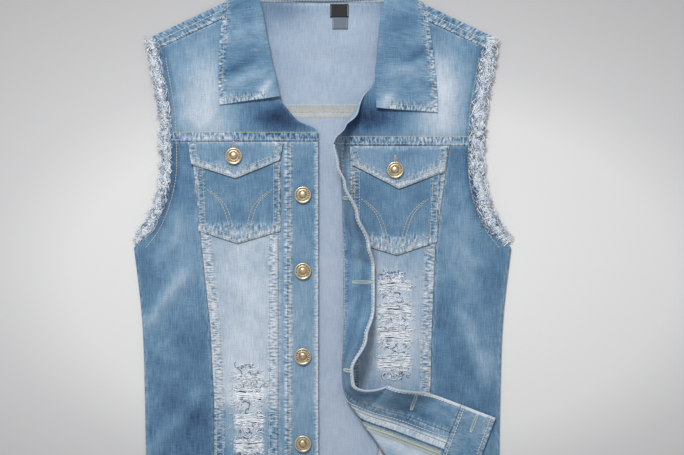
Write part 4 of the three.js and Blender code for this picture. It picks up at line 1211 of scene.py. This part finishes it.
# Inside of the left front, which its turned edge shows: rows beside the placket's edge and seam,
# pale overlocking on the seam behind it, and buttonholes worked in close purl stitches. The flaps
# have a short worked slit above each button.
pale_green = fluff_finish("overlock_thread", (190, 200, 192), (232, 240, 232), 90)
rows = [stitch_row(on_left_front, [(x, -296), (x, 132)], -OUT) for x in (-12.6, 27)]
rows += [stitch_row(on_left_front, [(-13, y), (180, y)], -OUT) for y in (-304.5, -338.5)]
thread_mesh("left_inside_stitching", np.vstack(rows), THREAD, cream, 0.7)
loops = [overlock(on_left_front, (x, -297), (x, 128), 5.4, -OUT - 0.1, 1.4) for x in (45.2, 49.3)]
loops += [overlock(on_left_front, (52, -297), (120, -297), 5, -OUT - 0.1, 1.4)]
thread_mesh("left_inside_overlocking", np.vstack(loops), 0.32, pale_green, 0.6)


def buttonhole(place, x, y, length, width, lift, upright=False):
    """Purl stitches round a slit: short loops set side by side, facing out all round."""
    count = int(2 * (length + width) / 0.5)
    turn = np.linspace(0, 2 * math.pi, count, endpoint=False)
    long_way = np.clip(1.35 * np.cos(turn), -1, 1) * length / 2
    short_way = np.sin(turn)
    paths = []
    for reach, rise in ((0.1, -0.3), (0.3, 0.35), (0.8, 0.4), (1.0, -0.3)):
        a, b = long_way * (1 + 0.12 * reach), short_way * width / 2 * (0.1 + 0.9 * reach)
        dx, dy = (b, a) if upright else (a, b)
        paths.append(place(x + dx, y + dy, np.full(count, lift + np.sign(lift) * rise)))
    return np.stack(paths, axis=1)


holes = [buttonhole(on_left_front, -0.5, y, 20, 4.4, -OUT) for y in (72, -28, -132, -246, -322)]
purl = fluff_finish("buttonhole_thread", (140, 162, 172), (208, 216, 208), 200)
thread_mesh("left_buttonholes", np.vstack(holes), 0.42, purl, 0.5)
slits = []
for front in (RIGHT, LEFT):
    x, y = front["flap_button"]
    slits.append(buttonhole(front["place"], front["sign"] * x, y + 8, 17, 3.2, OUT_FLAP, upright=True))
thread_mesh("flap_buttonholes", np.vstack(slits), 0.34, tan, 0.35)

# Buttons: pressed brass shank buttons with a raised rim, a ring of beads and a plain dome. They
# stand on a short shank that is riveted through the placket, and are rubbed bright on top.
BUTTON_RADIUS = 10
BUTTON_PROFILE = [
    (0.0, 3.9), (2.6, 3.8), (3.6, 3.3), (4.3, 3.0), (5.2, 3.35), (6.4, 3.4), (7.2, 2.9), (8.0, 3.2),
    (8.9, 3.75), (9.6, 3.5), (10.0, 2.7), (9.5, 2.0), (7.6, 1.7), (4.2, 1.5), (3.8, 0.2), (3.8, -0.2),
]


def brass_finish():
    material, tree, shader = new_finish("rubbed_brass", {"Metallic": 0.85})
    place = add_node(tree, "ShaderNodeTexCoord").outputs["Object"]
    blotch = stretched_noise(tree, place, (260, 260), 3.0)
    edge = add_node(tree, "ShaderNodeNewGeometry").outputs["Pointiness"]
    rubbed = add_node(tree, "ShaderNodeMapRange", {"Value": edge, "From Min": 0.44, "From Max": 0.58})
    amount = summed(tree, rubbed.outputs[0], [(blotch, 0.7)])
    stops = [(0.0, (96, 80, 58)), (0.45, (178, 158, 124)), (1.0, (230, 220, 196))]
    coloured(tree, shader, amount, stops)
    dull = add_node(tree, "ShaderNodeMapRange", {"Value": blotch, "To Min": 0.22, "To Max": 0.5})
    tree.links.new(dull.outputs[0], shader.inputs["Roughness"])
    raised(tree, shader, blotch, 0.0002, 0.5)
    return material


brass = brass_finish()
BEADS = 18
BEAD_RADIUS, BEAD_RING, BEAD_HEIGHT = 0.62, 7.2, 2.95


def press_button(name, node, x, y, base):
    """A button turned from its profile, with beads round its dome."""
    bm = bmesh.new()
    line = [bm.verts.new((radius * MM, 0, height * MM)) for radius, height in BUTTON_PROFILE]
    edges = [bm.edges.new(pair) for pair in zip(line, line[1:])]
    bmesh.ops.spin(bm, geom=line + edges, cent=(0, 0, 0), axis=(0, 0, 1), angle=2 * math.pi,
                   steps=48, use_merge=True)
    bmesh.ops.remove_doubles(bm, verts=bm.verts, dist=1e-6)
    rim = [edge for edge in bm.edges if edge.is_boundary]
    bmesh.ops.holes_fill(bm, edges=rim)
    bmesh.ops.recalc_face_normals(bm, faces=bm.faces)
    for i in range(BEADS):
        made = bmesh.ops.create_icosphere(bm, subdivisions=2, radius=BEAD_RADIUS * MM)["verts"]
        angle = 2 * math.pi * i / BEADS
        spot = (BEAD_RING * MM * math.cos(angle), BEAD_RING * MM * math.sin(angle), BEAD_HEIGHT * MM)
        bmesh.ops.translate(bm, verts=made, vec=spot)
    bmesh.ops.translate(bm, verts=bm.verts, vec=(x * MM, y * MM, base * MM))
    join_body(set_mesh(name, bm, [brass]), node)


button_rows = [(f"button_{i + 1}", -23.4, y, OUT_DOUBLED) for i, y in
               enumerate((76.2, -15, -117, -221.4, -323.4))]
for front in (RIGHT, LEFT):
    x, y = front["flap_button"]
    button_rows.append((f"{front['name']}_flap_button", x * front["sign"], y, OUT_FLAP))
for node, x, y, lift in button_rows:
    base = float(front_height(np.array(x), np.array(y))) + lift + 0.2
    press_button("brass_" + node, node, x, y, base)

# Frayed armholes: the sleeves were cut away, and the raw edge has washed into a thick rope of
# tangled white and pale blue yarn. Some strands run along the edge and most stick out of it in
# clumps, on the fronts and, more thinly, on the back.
FRAY_POINTS = 6


def armhole_frame(count):
    """Places along the armhole's edge, with the directions along it and out of it."""
    edge, run = armhole_run(400)
    at = np.sort(dice.uniform(0, 400, count))
    spots, along = (at_reach(line, at, np.arange(401)) for line in (edge, run))
    return at, spots, along, np.column_stack([-along[:, 1], along[:, 0]])


def fray(place, sign, count, inner, outer, fluff):
    """Curled strands from the edge outwards. Clumps lean and reach together."""
    at, spots, along, out = armhole_frame(count)
    clump = 1.3 * np.sin(at * 0.19) + np.sin(at * 0.43 + 1) + 0.6 * np.sin(at * 0.91)
    root = dice.uniform(inner * (0.72 + 0.2 * clump), 1.5)
    reach = np.clip(outer * (0.62 + 0.2 * clump) * dice.uniform(0.55, 1.1, count), 2.5, outer) - root * 0.6
    lean = 2.2 * np.sin(at * 0.33) + dice.normal(0, 2.4, count)
    curl = dice.uniform(1.0, 3.2, count)
    phase = dice.uniform(0, 2 * math.pi, count)
    t = np.linspace(0, 1, FRAY_POINTS)[None, :]
    away = root[:, None] + reach[:, None] * t + 0.9 * np.sin(phase[:, None] + 5 * t)
    slide = lean[:, None] * t + curl[:, None] * np.sin(phase[:, None] + 4.2 * t) * t
    spot = spots[:, None] + out[:, None] * away[..., None] + along[:, None] * slide[..., None]
    height = fluff * (dice.uniform(0.3, 1, count)[:, None] * np.sin(math.pi * np.minimum(t * 1.15, 1)))
    height = height + dice.uniform(0, 0.8, count)[:, None] + np.where(t < 0.1, -0.2, 0)
    x, y = (spot[..., 0] * sign).ravel(), spot[..., 1].ravel()
    paths = place(x, y, height.ravel() * 0)
    paths[:, 2] += height.ravel() * MM
    return paths.reshape(count, FRAY_POINTS, 3)


def edge_rope(place, sign, count, inner, outer, fluff):
    """Loose strands that run along the edge, in and out of the fray."""
    points = 9
    edge, run = armhole_run(400)
    start = dice.uniform(0, 360, count)
    t = np.linspace(0, 1, points)[None]
    at = start[:, None] + dice.uniform(14, 42, count)[:, None] * t
    at = np.minimum(at, 400)
    x, y, rx, ry = (np.interp(at, np.arange(401), c) for c in (*edge.T, *run.T))
    away = dice.uniform(inner, outer, count)[:, None]
    away = away + 2.4 * np.sin(dice.uniform(0, 6, count)[:, None] + dice.uniform(3, 9, count)[:, None] * t)
    px, py = x - ry * away, y + rx * away
    paths = place((px * sign).ravel(), py.ravel(), 0 * px.ravel())
    rise = fluff * (0.4 + 0.6 * np.sin(dice.uniform(0, 6, count)[:, None] + 8 * t)) + 0.5
    paths[:, 2] += rise.ravel() * MM
    return paths.reshape(count, points, 3)


for front in (RIGHT, LEFT):
    sign, name = front["sign"], front["name"]
    wide = -9 if front is LEFT else -4
    layers = ("front", front["place"], 1750, wide, 2.6), ("back", on_back, 520, -1, 0.9)
    for layer, place, count, inner, fluff in layers:
        strands = fray(place, sign, count, inner, 12.5, fluff)
        tint = dice.choice([0.1, 0.5, 0.8, 1.0], count, p=[0.16, 0.24, 0.3, 0.3])
        thread_mesh(f"{name}_{layer}_fray", strands, 0.42, white_yarn, tint, True, f"{name}_{layer}_fringe")
    strands = edge_rope(front["place"], sign, 260, wide, 8, 1.9)
    tint = dice.choice([0.2, 0.6, 0.9, 1.0], 260)
    thread_mesh(f"{name}_edge_rope", strands, 0.44, white_yarn, tint)
    strands = edge_rope(front["place"], sign, 150, wide - 2, 7, 2.3)
    thread_mesh(f"{name}_edge_blue", strands, 0.36, dyed_yarn, dice.uniform(-0.1, 0.7, 150))

# The collar: one curved band of doubled twill. Its stand rises from the neck seam to a soft roll,
# and its leaf falls over the outside of the neck to two pointed corners. A row of stitching
# follows the leaf's edge, which has roped dark and pale in the wash.
LEFT_COLLAR = [
    ((70, 186), (65.5, 180), (138, 175), True),
    ((69, 206), (63, 204), (137.5, 198), True),
    ((73, 240), (65, 238), (134, 236), True),
    ((81, 288), (70, 290), (127, 284), True),
    ((87, 317.5), (74, 323), (118, 303.8), False),
    ((62, 311.2), (54, 341), (84, 268), False),
    ((0, 307.2), (0, 343.5), (0, 266), False),
]
RIGHT_COLLAR = [
    ((-55, 198), (-50.5, 194), (-123, 184), True),
    ((-62, 220), (-56, 216), (-124.5, 208), True),
    ((-71, 256), (-64, 252), (-124, 248), True),
    ((-80, 290), (-71, 292), (-120, 287), True),
    ((-87, 317.5), (-75, 323), (-117, 304.3), False),
    ((-62, 311.2), (-54, 341), (-84, 268), False),
]
# Across the collar: from which line to which, how far, and the distance out from the middle of
# the body's cloth on the back and on the fronts
ACROSS = [
    ("seam", "roll", 0.02, 0.1, 1.7),
    ("seam", "roll", 0.5, 0.1, 2.6),
    ("seam", "roll", 0.93, 0.12, 3.4),
    ("seam", "roll", 1, 0.75, 4.4),
    ("seam", "roll", 0.94, 1.45, 5.4),
    ("roll", "edge", 0.16, 1.6, 5.2),
    ("roll", "edge", 0.5, 1.6, 3.6),
    ("roll", "edge", 1, 1.6, 1.9),
]
# Creases of the leaf, placed by the distance from its right end, or back from its left end where
# negative, and by the distance in from its edge
COLLAR_FOLDS = [
    (34, 4, 52, 48, 7, -1.0),
    (22, 14, 34, 60, 6, 0.7),
    (6, 50, 24, 66, 5, 1.1),
    (74, 10, 92, 56, 9, 0.6),
    (112, 0, 124, 50, 9, -0.6),
    (-78, 2, -60, 34, 6, -1.0),
    (-52, 20, -44, 62, 7, 0.7),
    (-20, 52, -6, 66, 5, 1.1),
    (-30, 0, -34, 22, 5, -0.7),
    (-110, 10, -98, 52, 9, -0.5),
]
COLLAR_ALONG = 210
COLLAR_ACROSS = 44
FOLD_STATION = 0.1667


def unfolded(x, y):
    """Where a point of the front lies on the back's pattern, before the shoulder is folded."""
    nx, ny, beyond = past_shoulder(np.array(float(x)), np.array(float(y)))
    out = SHOULDER_BEND - 2 * beyond
    return float(x + nx * out), float(y + ny * out)


def collar_lines():
    """The seam, the roll and the edge as smooth lines by share of the rows, not by length."""
    rows = [*RIGHT_COLLAR, *LEFT_COLLAR[::-1]]
    at = np.linspace(0, len(rows) - 1, COLLAR_ALONG + 1)
    lines = {}
    for column, key in enumerate(("seam", "roll", "edge")):
        points = [unfolded(*row[column]) if row[3] else row[column] for row in rows]
        lines[key] = curve_at(np.array(points, float), at)
    return lines


def collar_places():
    """Places of the collar's cloth, by station along it and by step across it."""
    lines = collar_lines()
    share_along = np.linspace(0, 1, COLLAR_ALONG + 1)
    over = ease((np.abs(share_along - 0.5) - FOLD_STATION) / 0.05 + 0.16)
    rows = []
    for start, end, share, back_lift, front_lift in ACROSS:
        spot = lines[start] + (lines[end] - lines[start]) * share
        rows.append(on_back(spot[:, 0], spot[:, 1], back_lift + (front_lift - back_lift) * over))
    rows = np.stack(rows, axis=1)
    return np.array([smooth_line(station, COLLAR_ACROSS) for station in rows])


collar_grid = collar_places()
bm = bmesh.new()
bmesh.ops.create_grid(bm, x_segments=COLLAR_ALONG, y_segments=COLLAR_ACROSS, size=0.5)
bm.verts.index_update()
near_edge, roped_edge, upright, washed = (
    bm.verts.layers.float.new(key) for key in ("edge", "seam", "upright", "fade")
)
width = np.linalg.norm(np.diff(collar_grid, axis=1), axis=2).cumsum(axis=1) / MM
width = np.hstack([np.zeros((COLLAR_ALONG + 1, 1)), width])
length = reach_along(collar_grid[:, COLLAR_ACROSS // 2]) / MM
pattern_of = {}
for vert in bm.verts:
    i = round((vert.co.x + 0.5) * COLLAR_ALONG)
    j = round((vert.co.y + 0.5) * COLLAR_ACROSS)
    vert.co = collar_grid[i, j]
    from_edge = width[i, -1] - width[i, j]
    from_end = min(length[i], length[-1] - length[i])
    on_leaf = min(1.0, width[i, j] / 60)
    nearest = min(from_edge, from_end if on_leaf > 0.4 else from_edge)
    vert[near_edge] = math.exp(-((nearest / 3.2) ** 2))
    vert[roped_edge] = math.exp(-(((nearest - 4) / 6) ** 2))
    vert[upright] = 1.0 if from_end < from_edge and on_leaf > 0.4 else 0.0
    point_wear = 0.3 * math.exp(-((math.hypot(from_edge, from_end) / 16) ** 2))
    roll_wear = 0.2 * math.exp(-((from_end / 22) ** 2 + ((width[i, j] - 22) / 12) ** 2))
    station = length[i] if length[i] < 300 else length[i] - length[-1]
    crease = float(folds_at(COLLAR_FOLDS, np.array(station), np.array(from_edge)))
    vert.co.z += max(crease, -0.4) * min(1.0, width[i, j] / 40) * MM
    # Crease ridges are worn paler, and crease troughs are painted darker as shade.
    vert[washed] = 0.46 + point_wear + roll_wear + 0.2 * crease
    pattern_of[vert.index] = (length[i] * MM, width[i, j] * MM)
cut_map = bm.loops.layers.uv.new("cut")
for face in bm.faces:
    for corner in face.loops:
        corner[cut_map].uv = pattern_of[corner.vert.index]
collar = set_mesh("collar_cloth", bm, [outside, outside, cut_edge])
wall = collar.modifiers.new("thickness", "SOLIDIFY")
wall.thickness = 1.2 * MM
wall.offset = 0
wall.material_offset_rim = 2
join_body(collar, "collar")


def collar_row(inset):
    """Lines on the leaf, a fixed distance in from its edge and its two ends."""
    along_leaf = np.flatnonzero(np.minimum(length, length[-1] - length) >= inset)
    spots = [at_reach(collar_grid[i], width[i, -1] - inset, width[i]) for i in along_leaf]
    ends = []
    for from_end in (length, length[-1] - length):
        i = int(np.argmin(np.abs(from_end - inset)))
        ends.append(at_reach(collar_grid[i], np.linspace(24, width[i, -1] - inset, 40), width[i]))
    return [np.array(spots), *ends]


def raised_stitches(line, lift):
    """Stitches along a line of places in space, lifted off it."""
    reach = reach_along(line)
    pitch = STITCH * MM
    count = int(reach[-1] / pitch)
    paths = at_reach(line, (np.arange(count)[:, None] + STITCH_SHARES) * pitch, reach)
    paths[..., 2] += (lift + np.array([-0.25, 0.4, 0.4, -0.25])) * MM
    return paths


collar_stitches = []
for line in collar_row(5.6):
    above = line[line[:, 2] > 3.5 * MM]
    if len(above) > 4:
        collar_stitches.append(raised_stitches(above, 0.62))
thread_mesh("collar_stitching", np.vstack(collar_stitches), THREAD, tan, 0.45)

# Label and size tab: a bare black satin label and a bare grey tape tab, both woven, with a row of
# stitches down each side, sewn inside the back of the neck.
def woven_finish(name, dark, light):
    constants = {"Roughness": 0.5, "Sheen Weight": 0.1, "Specular IOR Level": 0.3}
    material, tree, shader = new_finish(name, constants)
    cut = add_node(tree, "ShaderNodeUVMap", uv_map="cut").outputs[0]
    ribs = add_node(tree, "ShaderNodeTexWave", {"Vector": cut, "Scale": 420.0, "Distortion": 0.4})
    amount = summed(tree, ribs.outputs["Fac"], [(stretched_noise(tree, cut, (500, 900)), 0.5)])
    coloured(tree, shader, amount, [(0.0, dark), (1.0, light)])
    raised(tree, shader, amount, 0.0001, 0.5)
    return material


black_satin = woven_finish("black_satin", (11, 12, 16), (30, 32, 38))
grey_tape = woven_finish("grey_tape", (78, 91, 104), (116, 128, 140))
LABELS = [
    ("neck_label", 9.2, 31.2, 289, 305, black_satin, "label_satin"),
    ("size_tab", 12, 30.4, 275, 288.7, grey_tape, "label_tape"),
]
middle = -(CLOTH / 2 + SEAM_GAP + 0.5)
label_stitches = []
for node, left, right, low, high, finish, slot in LABELS:
    pattern = four_sides((left, low), (right, low), (left, high), (right, high))
    panel = cut_panel(node + "_cloth", pattern, on_back, middle, 1.0, [finish] * 3, nowhere, 0.9)
    finish_panel(panel, node)
    for x in (left + 1, right - 1):
        line = [(x, low + 1), (x, high - 1)]
        label_stitches.append(stitch_row(on_back, line, middle - 0.5, pitch=2.2, height=0.25))
thread_mesh("label_stitching", np.vstack(label_stitches), 0.2, cream, 0.5)
